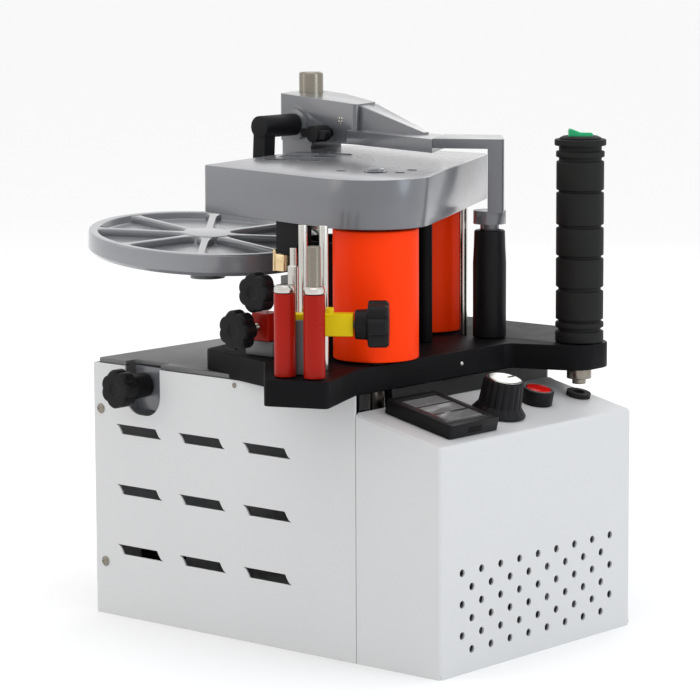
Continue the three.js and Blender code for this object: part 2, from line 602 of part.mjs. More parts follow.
part('guide_block', cut(join([
  box(150, 3, CASTING_TOP + GAP, 176, 20, 217.5),
  box(150, 3, 217, 168, 20, 237),
]), [studBore(LOWER_KNOB, 0, 30)]), RED_SLEEVE);
part('guide_post', cut(box(165, 24, CASTING_TOP + GAP, 179, 34, 262), [studBore(UPPER_KNOB, 20, 40)]), DARK_DECK);
part('hanging_block', hull([
  [158, 27, 277], [158, 41, 277], [172, 27, 277], [172, 41, 277], [180, 27, 284], [180, 41, 284],
  [158, 27, COVER_BOTTOM - GAP], [158, 41, COVER_BOTTOM - GAP], [180, 27, COVER_BOTTOM - GAP],
  [180, 41, COVER_BOTTOM - GAP],
]), BLACK_ANODISED);
part('deck_clamp', cut(join([
  box(36, 8, 156, 66, 14, CABINET_HEIGHT - GAP),
  box(36, 8, 182, 66, 34, CABINET_HEIGHT - GAP),
]), [studBore(DECK_KNOB, 0, 40)]), GREY_CASTING);

// Clamp lever: hub along +Y with an arm hanging down.
place(part('clamp_lever', join([
  rod(STUD_RADIUS, -34, 0, 8).rotateX(Math.PI / 2),
  rod(8.5, -8, 31, 16).rotateX(Math.PI / 2),
  box(-6, -30.6, -27, 6, -19, 0).rotateY(degrees(3)),
]), BLACK_PLASTIC), CLAMP_LEVER.x, CLAMP_LEVER.y, CLAMP_LEVER.z);
function wingKnob() {
  const wing = outline([[-12.4, -2.6, 2.5], [12.4, -4.4, 2.5], [12.4, 2.6, 2.5], [-12.4, 4.4, 2.5]], 3);
  return join([
    plate(wing, 0, 7), rod(6.5, -8, 8, 12), rod(STUD_RADIUS, -34, 0, 8),
  ]).rotateX(Math.PI / 2);
}
place(part('wing_knob', wingKnob(), BLACK_PLASTIC), WING_KNOB.x, WING_KNOB.y, WING_KNOB.z);

// ---- front guides ----------------------------------------------------------------------------------------------
const RED_ROLLER_RADIUS = 7.35;
RED_ROLLERS.forEach((centre, i) => {
  const tag = i + 1;
  place(part(`red_roller_${tag}`, turned([
    [3.3, 207.3], [RED_ROLLER_RADIUS, 207.3], [RED_ROLLER_RADIUS, 263.5], [3.3, 263.5], [3.3, 207.3],
  ], 20), RED_SLEEVE), centre.x, centre.y);
  place(part(`red_roller_axle_${tag}`, turned([
    [0, CASTING_TOP + GAP], [3, CASTING_TOP + GAP], [3, 264], [7.2, 264], [7.2, 268],
    [i ? 4.5 : 5.6, 269.5], [i ? 4.5 : 0, i ? 296 : 269.5], [0, i ? 296 : 269.5],
  ], 16), STEEL), centre.x, centre.y);
});
GUIDE_RODS.forEach((centre, i) => {
  place(part(`guide_rod_${i + 1}`, rod(3.1, CASTING_TOP + GAP, 306, 14), STEEL), centre.x, centre.y);
});
place(part('pressure_pin', turned([
  [0, CASTING_TOP + GAP], [4, CASTING_TOP + GAP], [4, 277], [2.4, 278], [2.4, 289.5], [0, 289.5],
], 14), STEEL), 220.5, -24);

// Yellow tape-width bar slides along the guide arm's direction, with its screw knob on the outer end.
const BAR = new THREE.Group();
BAR.position.set(247, -32, 241);
BAR.rotation.z = degrees(BAR_ANGLE);
bench.add(BAR);
const barBody = cut(join([
  box(-16, -6, -8.5, 26, 6, 6.5),
  rod(2.8, 5, 10.5, 12).translate(10, 0, 0),
]), [rod(STUD_RADIUS + 0.5, 6, 40, 12).rotateY(Math.PI / 2).translate(0, 0, -1)]);
part('width_bar', barBody, YELLOW_BAR, BAR);
part('width_knob', lobedKnob(16.5, 14, 10, 9, 14).rotateZ(Math.PI / 2).translate(36, 0, -1),
  BLACK_PLASTIC, BAR);
part('width_bar_post', join([
  box(-14, -11, -34, -4, -7, 3), box(-16, -11, -34, -2, 5, -28),
]), DARK_DECK, BAR);

// ---- tape tray --------------------------------------------------------------------------------------------------
const tray = new THREE.Group();
tray.position.copy(TRAY_CENTRE);
tray.quaternion.setFromUnitVectors(new THREE.Vector3(0, 0, 1), TRAY_TILT);
bench.add(tray);
const SPOKES = 8;
const FIRST_SPOKE = 175;         // degrees
function tapeTray() {
  const dish = turned([
    [0, -3], [7.4, -3], [7.4, -TRAY_RIM + 2], [TRAY_RADIUS - 3, -TRAY_RIM], [TRAY_RADIUS, -TRAY_RIM + 3],
    [TRAY_RADIUS, -1], [TRAY_RADIUS - 1, 0], [TRAY_RADIUS - 6, 0], [TRAY_RADIUS - 7, -TRAY_FLOOR], [19, -TRAY_FLOOR], [18, 0],
    [0, 0],
  ], 32);
  const spokes = [];
  for (let k = 0; k < SPOKES; k += 1) {
    const spoke = box(16, -3, -TRAY_FLOOR - 1, TRAY_RADIUS - 5, 3, -0.6);
    spokes.push(spoke.rotateZ(degrees(FIRST_SPOKE + 360 * k / SPOKES)));
  }
  return join([dish, ...spokes]);
}
part('tape_tray', tapeTray(), GREY_CASTING, tray);
// Tray arm: a bar clamped round the steel rod, with a tilted spindle and its seat under the tray.
const ARM_LOW = 246;
const ARM_HIGH = 256;
const spindle = turned([
  [0, -30], [11, -30], [11, -TRAY_RIM + 1.5], [7, -TRAY_RIM + 1.5], [7, -3.4], [0, -3.4],
], 20).applyMatrix4(new THREE.Matrix4().compose(tray.position, tray.quaternion, new THREE.Vector3(1, 1, 1)));
const armRun = ROD.clone().sub(new THREE.Vector2(TRAY_CENTRE.x, TRAY_CENTRE.y));
const armBar = box(0, -8, ARM_LOW, armRun.length(), 8, ARM_HIGH).rotateZ(armRun.angle())
  .translate(TRAY_CENTRE.x, TRAY_CENTRE.y, 0);
const rodBore = rod(ROD_RADIUS + GAP, 200, 300, 20).translate(ROD.x, ROD.y, 0);
part('tray_arm', cut(join([
  spindle, rod(13, ARM_LOW, ARM_HIGH, 20).translate(TRAY_CENTRE.x, TRAY_CENTRE.y, 0), armBar,
  rod(17, ARM_LOW, ARM_HIGH + 6, 20).translate(ROD.x, ROD.y, 0),
]), [rodBore]), DARK_DECK);

// ---- upright grip ----------------------------------------------------------------------------------------------
const grip = new THREE.Group();
grip.position.set(GRIP.x, GRIP.y, 0);
bench.add(grip);
part('grip_core', cut(turned([
  [0, 176], [5, 176], [5, 180], [9, 180], [9, 187.5], [6, 187.5], [6, CASTING_TOP + GAP],
  [11, CASTING_TOP + GAP], [11, GRIP_TOP - 6], [0, GRIP_TOP - 6],
], 12), [rod(3, 170, 400, 8)]), BLACK_ANODISED, grip);

// Rubber sleeve: two foot rings, five broad ribs, a ring and a thin top flange.
const GRIP_BANDS = [
  [207, 215], [217.5, 221.5], [223.3, 244.1], [246.9, 267.7], [269.8, 289.8], [292, 315.2], [317, 337.8],
  [340.6, 345], [348.9, GRIP_TOP],
];
function gripProfile() {
  const profile = [[11.3, 207]];
  GRIP_BANDS.forEach(([low, high], i) => {
    const radius = i === GRIP_BANDS.length - 1 ? GRIP_RADIUS + 1.4 : GRIP_RADIUS;
    if (i) profile.push([GRIP_RADIUS - 1.8, low]);
    profile.push([radius, low], [radius, high]);
    if (i < GRIP_BANDS.length - 1) profile.push([GRIP_RADIUS - 1.8, high]);
  });
  profile.push([11.3, GRIP_TOP], [11.3, 207]);
  return profile;
}
part('grip_sleeve', turned(gripProfile(), 20), BLACK_RUBBER, grip);
const gripSwitch = new THREE.Group();
gripSwitch.position.z = GRIP_TOP;
gripSwitch.rotation.z = degrees(SWITCH_TURN);
grip.add(gripSwitch);
const switchBody = cut(
  turned([[0, -5.5], [11, -5.5], [11, GAP], [15.6, GAP], [15, 1], [12.6, 2.2], [0, 2.2]], 24),
  [box(-9.4, -5, -3, 9.4, 5, 9)],
);
part('grip_switch_body', switchBody, BLACK_PLASTIC, gripSwitch);
part('grip_rocker', plate(outline([
  [-8.8, -1.4, 0], [8.8, -1.4, 0], [8.8, 4.6, 1.2], [0, 4.8, 0], [-8.8, 8.2, 1.2],
], 2), -4.5, 4.5).rotateX(Math.PI / 2), GREEN_LENS, gripSwitch);

// ---- inside the cabinet ------------------------------------------------------------------------------------------
function gearMotor() {
  const body = turned([
    [0, 52], [23, 52], [23, 118], [26, 120], [26, 166], [12, 166], [12, 170], [0, 170],
  ], 16);
  const lugs = [110, 180, 250].map((angle) => (
    rod(4, 160, CABINET_HEIGHT, 8).translate(21 * Math.cos(degrees(angle)), 21 * Math.sin(degrees(angle)), 0)
  ));
  return cut(join([body, ...lugs]), [rod(6.4, 145, 200, 12)]);
}
place(part('gear_motor', gearMotor(), BLACK_ANODISED), ROLLER_FRONT.x, ROLLER_FRONT.y);
part('control_board', join([
  box(90, 120, 9, 190, 190, 10.6), box(96, 126, 10, 120, 160, 32), box(130, 130, 10, 180, 142, 40),
  box(150, 155, 10, 176, 180, 24), rod(7, 10, 36, 12).translate(108, 175, 0),
  ...[[96, 124], [184, 124], [96, 186], [184, 186]].map(([x, y]) => rod(3, 2.3, 10, 8).translate(x, y, 0)),
]), BOARD_GREEN);
part('power_inlet', cut(join([
  box(-2.2, INLET_Y - 16, INLET_Z - 12, 0, INLET_Y + 16, INLET_Z + 12),
  box(-1, INLET_Y - 13.6, INLET_Z - 9.6, 22, INLET_Y + 13.6, INLET_Z + 9.6),
]), [box(-5, INLET_Y - 11, INLET_Z - 7, 16, INLET_Y + 11, INLET_Z + 7)]), BLACK_PLASTIC);

export default machine;
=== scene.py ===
import json
import bmesh
import bpy
import numpy as np
from mathutils import Matrix, Vector
from mathutils.geometry import delaunay_2d_cdt


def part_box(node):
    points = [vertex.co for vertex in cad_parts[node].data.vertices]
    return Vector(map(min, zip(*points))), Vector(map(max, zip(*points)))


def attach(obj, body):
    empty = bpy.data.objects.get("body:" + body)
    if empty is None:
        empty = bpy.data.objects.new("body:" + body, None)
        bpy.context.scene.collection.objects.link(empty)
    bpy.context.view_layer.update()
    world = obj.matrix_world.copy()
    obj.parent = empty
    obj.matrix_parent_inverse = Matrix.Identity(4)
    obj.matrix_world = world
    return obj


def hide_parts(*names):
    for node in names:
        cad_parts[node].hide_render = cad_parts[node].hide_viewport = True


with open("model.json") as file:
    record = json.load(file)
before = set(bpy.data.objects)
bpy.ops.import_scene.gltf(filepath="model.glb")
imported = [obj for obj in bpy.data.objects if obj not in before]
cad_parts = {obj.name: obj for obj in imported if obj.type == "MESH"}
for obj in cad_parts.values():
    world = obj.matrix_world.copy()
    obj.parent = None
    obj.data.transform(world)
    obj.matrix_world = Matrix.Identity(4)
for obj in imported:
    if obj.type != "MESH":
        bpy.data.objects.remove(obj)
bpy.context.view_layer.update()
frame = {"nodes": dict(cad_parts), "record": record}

mm = 0.001
slotOf = {row["node"]: row["material_slot"] for row in frame["record"]["subparts"]}
bodyOf = {node: body for body, nodes in frame["record"]["behaviour"]["bodies"].items() for node in nodes}
jointOf = {joint["child"]: joint for joint in frame["record"]["behaviour"]["joints"]}


# wraps one shader socket, so that a sum or product in Python adds the Math node for it
class Signal:
    def __init__(self, finish, socket):
        self.finish = finish
        self.socket = socket

    def math(self, operation, first, second):
        return self.finish.node("Math", {"operation": operation}, {0: first, 1: second})

    def __add__(self, other):
        return self.math("ADD", self, other)

    __radd__ = __add__

    def __mul__(self, other):
        return self.math("MULTIPLY", self, other)


# one material: a Principled shader, and a single method that adds any other node
class Finish:
    def __init__(self, name, color, roughness, metallic=0.0, **constants):
        self.material = bpy.data.materials.new(name)
        self.material.use_nodes = True
        self.tree = self.material.node_tree
        self.shader = self.tree.nodes["Principled BSDF"]
        self.shader.inputs["Base Color"].default_value = (*color, 1.0)
        self.shader.inputs["Roughness"].default_value = roughness
        self.shader.inputs["Metallic"].default_value = metallic
        for socket, value in constants.items():
            self.shader.inputs[socket.replace("_", " ")].default_value = value
        self.place = self.node("TexCoord", output="Object")

    def node(self, kind, settings=None, values=None, output=0):
        made = self.tree.nodes.new("ShaderNode" + kind)
        for setting, value in (settings or {}).items():
            if setting == "stops":
                for stop, (position, color) in zip(made.color_ramp.elements, value):
                    stop.position = position
                    stop.color = color
            else:
                setattr(made, setting, value)
        for socket, value in (values or {}).items():
            self.feed(made.inputs[socket], value)
        return Signal(self, made.outputs[output])

    def feed(self, socket, value):
        if isinstance(value, Signal):
            self.tree.links.new(value.socket, socket)
        else:
            socket.default_value = value

    def noise(self, scale, detail=3.0, stretch=(1.0, 1.0, 1.0)):
        where = self.node("Mapping", values={"Vector": self.place, "Scale": stretch})
        return self.node("TexNoise", values={"Vector": where, "Scale": scale, "Detail": detail})

    def tint(self, amount, first, second):
        tones = {0: amount, 6: (*first, 1.0), 7: (*second, 1.0)}
        return self.node("Mix", {"data_type": "RGBA"}, tones, output=2)

    def surface(self, **values):
        for socket, value in values.items():
            self.feed(self.shader.inputs[socket.replace("_", " ")], value)

    def bump(self, height, strength, distance):
        lift = self.node("Bump", values={"Strength": strength, "Distance": distance, "Height": height})
        self.surface(Normal=lift)


def mottledPaint(name, light, dark, roughness, grain, depth, **constants):
    # paint: two close tones mixed by broad noise, roughness varied by finer noise, grain as bump
    finish = Finish(name, light, roughness, **constants)
    broad = finish.noise(9.0, 4.0)
    fine = finish.noise(70.0, 3.0)
    finish.surface(Base_Color=finish.tint(broad, light, dark), Roughness=roughness - 0.07 + fine * 0.14)
    finish.bump(finish.noise(grain, 2.0), 0.35, depth)
    return finish.material


def turnedMetal(name, color, roughness, metallic=1.0, axis=2):
    # turned or ground metal: noise squeezed hard along the axis gives rings of tool marks
    stretch = [3.0, 3.0, 3.0]
    stretch[axis] = 900.0
    finish = Finish(name, color, roughness, metallic)
    marks = finish.noise(1.0, 2.0, stretch)
    cloud = finish.noise(35.0, 3.0)
    finish.surface(Roughness=roughness - 0.06 + marks * 0.12, Base_Color=finish.tint(
        cloud, color, [channel * 0.86 for channel in color]))
    finish.bump(marks, 0.12, 0.00005)
    return finish.material


def mouldedPlastic(name, color, roughness, grain=1400.0, **constants):
    # moulded plastic: fine spark-erosion grain as bump, slightly worn patches in roughness
    finish = Finish(name, color, roughness, **constants)
    worn = finish.noise(45.0, 4.0)
    lighter = [channel * 1.5 + 0.004 for channel in color]
    finish.surface(Roughness=roughness - 0.1 + worn * 0.2, Base_Color=finish.tint(worn, color, lighter))
    finish.bump(finish.noise(grain, 2.0), 0.3, 0.00006)
    return finish.material


def siliconeRubber(name, color, deep):
    # cast silicone: colour deepens in soft vertical clouds, faint skin texture as bump
    finish = Finish(name, color, 0.42, Specular_IOR_Level=0.08)
    cloud = finish.noise(22.0, 3.0, (1.0, 1.0, 0.35))
    skin = finish.noise(500.0, 2.0)
    finish.surface(Base_Color=finish.tint(cloud, color, deep), Roughness=0.36 + skin * 0.1)
    finish.bump(skin, 0.2, 0.00005)
    return finish.material


def clearLens(name, color):
    # coloured lens: glossy coated plastic with a faint inner cloud
    finish = Finish(name, color, 0.2, Coat_Weight=0.25, Specular_IOR_Level=0.3)
    cloud = finish.noise(160.0, 2.0)
    finish.surface(Base_Color=finish.tint(cloud, color, [channel * 0.6 for channel in color]))
    finish.bump(cloud, 0.05, 0.0001)
    return finish.material


finishes = {
    "whitePowderCoat": mottledPaint("whitePowderCoat", (0.585, 0.59, 0.595), (0.555, 0.56, 0.565), 0.46,
                                    900.0, 0.0001),
    "deckPaint": mottledPaint("deckPaint", (0.105, 0.105, 0.107), (0.08, 0.08, 0.082), 0.5, 700.0, 0.0001,
                              Coat_Weight=0.4, Coat_Roughness=0.35),
    "blackCasting": mottledPaint("blackCasting", (0.0055, 0.0055, 0.0065), (0.004, 0.004, 0.0045), 0.5,
                                 520.0, 0.0002, Specular_IOR_Level=0.07),
    "greyCasting": mottledPaint("greyCasting", (0.118, 0.122, 0.136), (0.098, 0.102, 0.114), 0.34, 430.0,
                                0.00012, Coat_Weight=1.0, Coat_Roughness=0.18),
    "trayPaint": mottledPaint("trayPaint", (0.225, 0.232, 0.25), (0.19, 0.197, 0.21), 0.3, 520.0,
                              0.00014, Coat_Weight=1.0, Coat_Roughness=0.16),
    "orangeSilicone": siliconeRubber("orangeSilicone", (1.0, 0.052, 0.001), (0.93, 0.036, 0.001)),
    "redAnodised": mottledPaint("redAnodised", (0.35, 0.011, 0.005), (0.28, 0.007, 0.003), 0.3, 900.0,
                                0.00004, Coat_Weight=0.06, Specular_IOR_Level=0.1),
    "turnedSteel": turnedMetal("turnedSteel", (0.60, 0.56, 0.49), 0.22),
    "brightSteel": turnedMetal("brightSteel", (0.62, 0.60, 0.56), 0.2),
    "rodSteel": turnedMetal("rodSteel", (0.27, 0.245, 0.205), 0.26),
    "brass": turnedMetal("brass", (0.74, 0.56, 0.32), 0.25),
    "blackPlastic": mouldedPlastic("blackPlastic", (0.0045, 0.0045, 0.0052), 0.42, Specular_IOR_Level=0.13),
    "gripRubber": mouldedPlastic("gripRubber", (0.0078, 0.008, 0.0076), 0.62, 900.0, Specular_IOR_Level=0.14),
    "yellowPaint": mottledPaint("yellowPaint", (0.72, 0.55, 0.003), (0.64, 0.47, 0.002), 0.34, 800.0,
                                0.00005, Specular_IOR_Level=0.12),
    "greenLens": clearLens("greenLens", (0.004, 0.46, 0.17)),
    "redLens": clearLens("redLens", (0.68, 0.008, 0.006)),
    "smokedWindow": clearLens("smokedWindow", (0.042, 0.044, 0.047)),
    "displayGrey": clearLens("displayGrey", (0.20, 0.205, 0.205)),
    "boardGreen": mottledPaint("boardGreen", (0.02, 0.13, 0.045), (0.015, 0.10, 0.03), 0.4, 500.0, 0.0001),
    # painted shade: a near-black finish for slabs that stand in for the shade inside slots, grooves and
    # recesses
    "paintedCavityShade": mouldedPlastic("paintedCavityShade", (0.004, 0.004, 0.004), 0.8, Specular_IOR_Level=0.1),
}
slotFinish = {
    "white_paint": "whitePowderCoat", "deck_grey": "deckPaint", "black_casting": "blackCasting",
    "grey_casting": "greyCasting", "tray_aluminium": "trayPaint", "orange_silicone": "orangeSilicone",
    "red_sleeve": "redAnodised", "steel": "turnedSteel", "black_plastic": "blackPlastic",
    "grip_rubber": "gripRubber", "yellow_paint": "yellowPaint", "green_lens": "greenLens",
    "red_lens": "redLens", "display_window": "smokedWindow", "circuit_board": "boardGreen",
}
for node, carried in frame["nodes"].items():
    carried.data.materials.clear()
    carried.data.materials.append(finishes[slotFinish[slotOf[node]]])
print("finishes made:", len(finishes))


def soften(points, radius, steps=4, closed=False):
    # rounds each corner of a flat line of points by an arc; radius is one value or one for each corner
    points = np.asarray(points, float)
    radii = np.broadcast_to(np.asarray(radius, float), (len(points),))
    out = []
    for i, corner in enumerate(points):
        if radii[i] <= 0 or (not closed and i in (0, len(points) - 1)):
            out.append(corner[None])
            continue
        before, after = points[i - 1] - corner, points[(i + 1) % len(points)] - corner
        reach = min(np.linalg.norm(before), np.linalg.norm(after)) * 0.49
        before, after = before / np.linalg.norm(before), after / np.linalg.norm(after)
        half = np.arccos(np.clip(before @ after, -1, 1)) / 2
        if half > 1.55:
            out.append(corner[None])
            continue
        back = min(radii[i] / np.tan(half), reach)
        r = back * np.tan(half)
        middle = (before + after) / np.linalg.norm(before + after)
        centre = corner + middle * r / np.sin(half)
        start, end = corner + before * back - centre, corner + after * back - centre
        sweep = np.arctan2(start[0] * end[1] - start[1] * end[0], start @ end)
        angles = np.arctan2(start[1], start[0]) + sweep * np.linspace(0, 1, steps + 1)
        out.append(centre + r * np.stack([np.cos(angles), np.sin(angles)], 1))
    return np.concatenate(out)


def gridFaces(rows, columns, loop=True):
    # quads between neighbouring rows and columns; the last column joins the first when loop is set
    i, j = np.meshgrid(np.arange(rows - 1), np.arange(columns if loop else columns - 1), indexing="ij")
    right = (j + 1) % columns
    above = i + 1
    quads = np.stack([i * columns + j, i * columns + right, above * columns + right, above * columns + j], -1)
    return quads.reshape(-1, 4)


def turnedGrid(profile, segments=72, lobes=0, lobeDepth=None):
    # radius and height rows swept round +Z; a lobed row's radius swells and shrinks with the angle
    profile = np.asarray(profile, float)
    angle = np.linspace(0, 2 * np.pi, segments, endpoint=False)
    radius = profile[:, :1] * np.ones(segments)
    if lobes:
        wave = np.abs(np.cos(lobes * angle / 2)) ** 0.7
        radius = radius * (1 - np.asarray(lobeDepth)[:, None] * (1 - wave))
    verts = np.stack([radius * np.cos(angle), radius * np.sin(angle), profile[:, 1:] * np.ones(segments)], -1)
    return verts.reshape(-1, 3), gridFaces(len(profile), segments)


def slabGrid(outline, low, high, edge, steps=3):
    # flat outline raised from low to high; both rims roll over by a quarter circle of radius edge
    outline = np.asarray(outline, float)
    ahead, behind = np.roll(outline, -1, 0) - outline, outline - np.roll(outline, 1, 0)
    ahead /= np.linalg.norm(ahead, axis=1)[:, None]
    behind /= np.linalg.norm(behind, axis=1)[:, None]
    area = np.sum(outline[:, 0] * np.roll(outline[:, 1], -1) - np.roll(outline[:, 0], -1) * outline[:, 1])
    inward = np.stack([-(ahead + behind)[:, 1], (ahead + behind)[:, 0]], 1) * np.sign(area)
    inward /= np.linalg.norm(inward, axis=1)[:, None]
    inward /= np.clip(np.abs(inward[:, 0] * -behind[:, 1] + inward[:, 1] * behind[:, 0]), 0.4, 1)[:, None]
    turn = np.linspace(0, np.pi / 2, steps + 1)
    capInset = edge * 1.6
    insets = np.concatenate([[capInset], edge * (1 - np.sin(turn)), edge * (1 - np.cos(turn)), [capInset]])
    rise, fall = edge * (1 - np.cos(turn)), edge * (1 - np.sin(turn))
    heights = np.concatenate([[low], low + rise, high - fall, [high]])
    rings = outline[None] + insets[:, None, None] * inward[None]
    tall = np.broadcast_to(heights[:, None, None], (len(heights), len(outline), 1))
    count = len(outline)
    faces = gridFaces(len(heights), count).tolist()
    faces.append(list(range(count))[::-1])
    faces.append(list(range((len(heights) - 1) * count, len(heights) * count)))
    return np.concatenate([rings, tall], 2).reshape(-1, 3), faces


def blockGrid(low, high, edge):
    # box with rolled edges, from its lowest and highest corners
    (x0, y0, z0), (x1, y1, z1) = low, high
    corners = soften([[x0, y0], [x1, y0], [x1, y1], [x0, y1]], edge, 3, closed=True)
    return slabGrid(corners, z0, z1, edge)


def oriented(verts, origin, axis=(0, 0, 1), turn=0.0):
    # turns a shape made about +Z so that +Z points along axis, then moves it to origin
    facing = Vector((0, 0, 1)).rotation_difference(Vector(axis)).to_matrix() @ Matrix.Rotation(turn, 3, "Z")
    return np.asarray(verts) @ np.array(facing).T + np.asarray(origin, float)


def merged(parts):
    # several shapes as one list of vertices and faces
    verts, faces, base = [], [], 0
    for points, quads in parts:
        verts.append(np.asarray(points))
        faces.extend([[index + base for index in quad] for quad in quads])
        base += len(points)
    return np.concatenate(verts), faces


def makePiece(name, shape, finish, standsFor, replace=True, bevel=0.0):
    # builds a mesh with its doubled points joined and its faces turned outwards, and settles it as a piece
    verts, faces = shape
    mesh = bpy.data.meshes.new(name)
    mesh.from_pydata(np.asarray(verts).tolist(), [], [list(map(int, face)) for face in faces])
    work = bmesh.new()
    work.from_mesh(mesh)
    bmesh.ops.remove_doubles(work, verts=work.verts, dist=2e-6)
    bmesh.ops.dissolve_degenerate(work, edges=work.edges, dist=1e-6)
    bmesh.ops.recalc_face_normals(work, faces=work.faces)
    work.to_mesh(mesh)
    work.free()
    return settle(name, mesh, finish, standsFor, replace, bevel)


def settle(name, mesh, finish, standsFor, replace=True, bevel=0.0):
    # gives a smooth mesh its finish and rolled edges, and ties it to the body of its CAD node
    mesh.polygons.foreach_set("use_smooth", np.ones(len(mesh.polygons), bool))
    mesh.materials.clear()
    mesh.materials.append(finishes[finish])
    piece = bpy.data.objects.new(name, mesh)
    bpy.context.scene.collection.objects.link(piece)
    if bevel:
        roll = piece.modifiers.new("rolledEdges", "BEVEL")
        roll.width, roll.segments, roll.limit_method, roll.angle_limit = bevel, 3, "ANGLE", 0.55
        roll.harden_normals = True
    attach(piece, bodyOf[standsFor])
    if replace:
        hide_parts(standsFor)
    return piece


def carriedCopy(node, finish, bevel):
    # merged copy of a CAD node whose flat faces are joined again and whose edges are rolled
    mesh = frame["nodes"][node].data.copy()
    work = bmesh.new()
    work.from_mesh(mesh)
    bmesh.ops.remove_doubles(work, verts=work.verts, dist=5e-6)
    flat = 0.02
    bmesh.ops.dissolve_limit(work, angle_limit=flat, verts=work.verts, edges=work.edges)
    work.to_mesh(mesh)
    work.free()
    return settle(node + "_finished", mesh, finish, node, True, bevel)


def centreOf(node):
    low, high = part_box(node)
    return (np.array(low) + np.array(high)) / 2


def spanOf(node):
    low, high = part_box(node)
    return np.array(low), np.array(high)


view = {"azimuth": 40.89, "elevation": 8.12, "roll": -0.26, "lens": 159.03,
        "place": (1.45518, -1.69088, 0.51778)}
azimuth, elevation, roll = np.radians([view["azimuth"], view["elevation"], view["roll"]])
back = np.array([np.sin(azimuth), -np.cos(azimuth), 0]) * np.cos(elevation) + [0, 0, np.sin(elevation)]
level = np.array([np.cos(azimuth), np.sin(azimuth), 0.0])
upright = np.cross(back, level)
right = np.cos(roll) * level + np.sin(roll) * upright
camera = bpy.data.objects.new("camera", bpy.data.cameras.new("camera"))
camera.data.lens = view["lens"]
camera.data.sensor_width = 36.0
camera.data.clip_start = 0.05
camera.matrix_world = Matrix.Translation(view["place"]) @ Matrix(
    np.stack([right, np.cross(back, right), back], 1)).to_4x4()
bpy.context.scene.collection.objects.link(camera)
bpy.context.scene.camera = camera

lights = [
    # name, place, aimed at, size, watts, colour
    ("overhead", (0.1, -0.2, 1.9), (0, 0, 0.2), 1.9, 6, (1.0, 1.0, 1.0)),
    ("leftWindow", (-1.5, -1.7, 1.0), (0, 0, 0.2), 1.3, 5, (1.0, 0.97, 0.93)),
    ("rightWindow", (2.1, 0.2, 0.9), (0, 0, 0.2), 1.2, 9, (0.78, 0.88, 1.0)),
    ("rearFill", (-0.6, 1.9, 1.2), (0, 0, 0.2), 1.4, 4, (1.0, 1.0, 1.0)),
]
for name, place, target, size, watts, color in lights:
    lamp = bpy.data.objects.new(name, bpy.data.lights.new(name, "AREA"))
    lamp.data.shape = "DISK"
    lamp.data.size = size
    lamp.data.energy = watts
    lamp.data.color = color
    lamp.matrix_world = Matrix.Translation(place) @ (
        Vector(place) - Vector(target)).to_track_quat("Z", "Y").to_matrix().to_4x4()
    bpy.context.scene.collection.objects.link(lamp)
world = bpy.data.worlds.new("studio")
world.use_nodes = True
world.node_tree.nodes["Background"].inputs["Color"].default_value = (1.0, 1.0, 1.0, 1.0)
world.node_tree.nodes["Background"].inputs["Strength"].default_value = 1.0
bpy.context.scene.world = world
bpy.context.scene.view_settings.view_transform = "Standard"

floorFinish = mottledPaint("paleFloor", (0.95, 0.95, 0.95), (0.94, 0.94, 0.94), 0.8, 40.0, 0.0001,
                           Specular_IOR_Level=0.1)
floorHalf = 40.0
floorMesh = bpy.data.meshes.new("floor")
floorMesh.from_pydata([(x * floorHalf, y * floorHalf, 0) for x, y in ((-1, -1), (1, -1), (1, 1), (-1, 1))],
                      [], [(0, 1, 2, 3)])
floorMesh.materials.append(floorFinish)
floor = bpy.data.objects.new("floor", floorMesh)
bpy.context.scene.collection.objects.link(floor)
print("camera, lights and floor set")


cabinet = {
    # millimetres: sheet and folds, louvres from the panel's end, and the notch for the deck clamp
    "sheet": 1.5, "bend": 2.6, "rim": 0.25, "panelGap": 0.3,
    "louvreHalf": 23, "louvreHalfTall": 3.5, "louvreTilt": 6, "louvreCurve": 0.6,
    "louvreColumns": (46, 109, 172), "louvreRows": (50.5, 95.5, 140.5),
    "notchHalf": 17.5, "notchFloor": 153, "notchRound": 15, "notchShift": 0.5,
}


def flatSheet(outer, holes):
    # flat sheet with holes: the outline and hole rims are fixed edges of one Delaunay net
    points, edges, start = [], [], 0
    for loop in [outer, *holes]:
        count = len(loop)
        points.extend(loop)
        edges.extend([(start + k, start + (k + 1) % count) for k in range(count)])
        start += count
    verts, _, faces, _, _, _ = delaunay_2d_cdt([Vector(p) for p in points], edges, [], 4, 1e-8)
    verts = np.array([tuple(v) for v in verts])
    keep = []
    for face in faces:
        middle = verts[list(face)].mean(0)
        inHole = any(insideLoop(middle, np.asarray(hole)) for hole in holes)
        if insideLoop(middle, np.asarray(outer)) and not inHole:
            keep.append(list(face))
    return verts, keep


def insideLoop(point, loop):
    # a point is inside when a ray to its right crosses the loop's edges an odd number of times
    ahead = np.roll(loop, -1, 0)
    crossing = (loop[:, 1] > point[1]) != (ahead[:, 1] > point[1])
    rise = np.where(crossing, ahead[:, 1] - loop[:, 1], 1.0)
    reach = loop[:, 0] + (point[1] - loop[:, 1]) / rise * (ahead[:, 0] - loop[:, 0])
    return np.count_nonzero(crossing & (point[0] < reach)) % 2 == 1


def circle(x, y, radius, sides):
    # points evenly spaced round a circle
    angle = np.linspace(0, 2 * np.pi, sides, endpoint=False)
    return np.stack([x + radius * np.cos(angle), y + radius * np.sin(angle)], 1)


def louvreSlot(x, z):
    # slot whose two ends lean the same way and are gently curved
    # slot whose two ends lean the same way and are gently curved: the lean follows a power of the height
    wide, tall = cabinet["louvreHalf"] * mm, cabinet["louvreHalfTall"] * mm
    t = np.linspace(0, 1, 7)
    lean = cabinet["louvreTilt"] * mm * t ** cabinet["louvreCurve"]
    left = np.stack([x - wide + lean, z + tall - 2 * tall * t], 1)
    right = np.stack([x + wide - lean, z - tall + 2 * tall * t], 1)
    return np.concatenate([left, right])


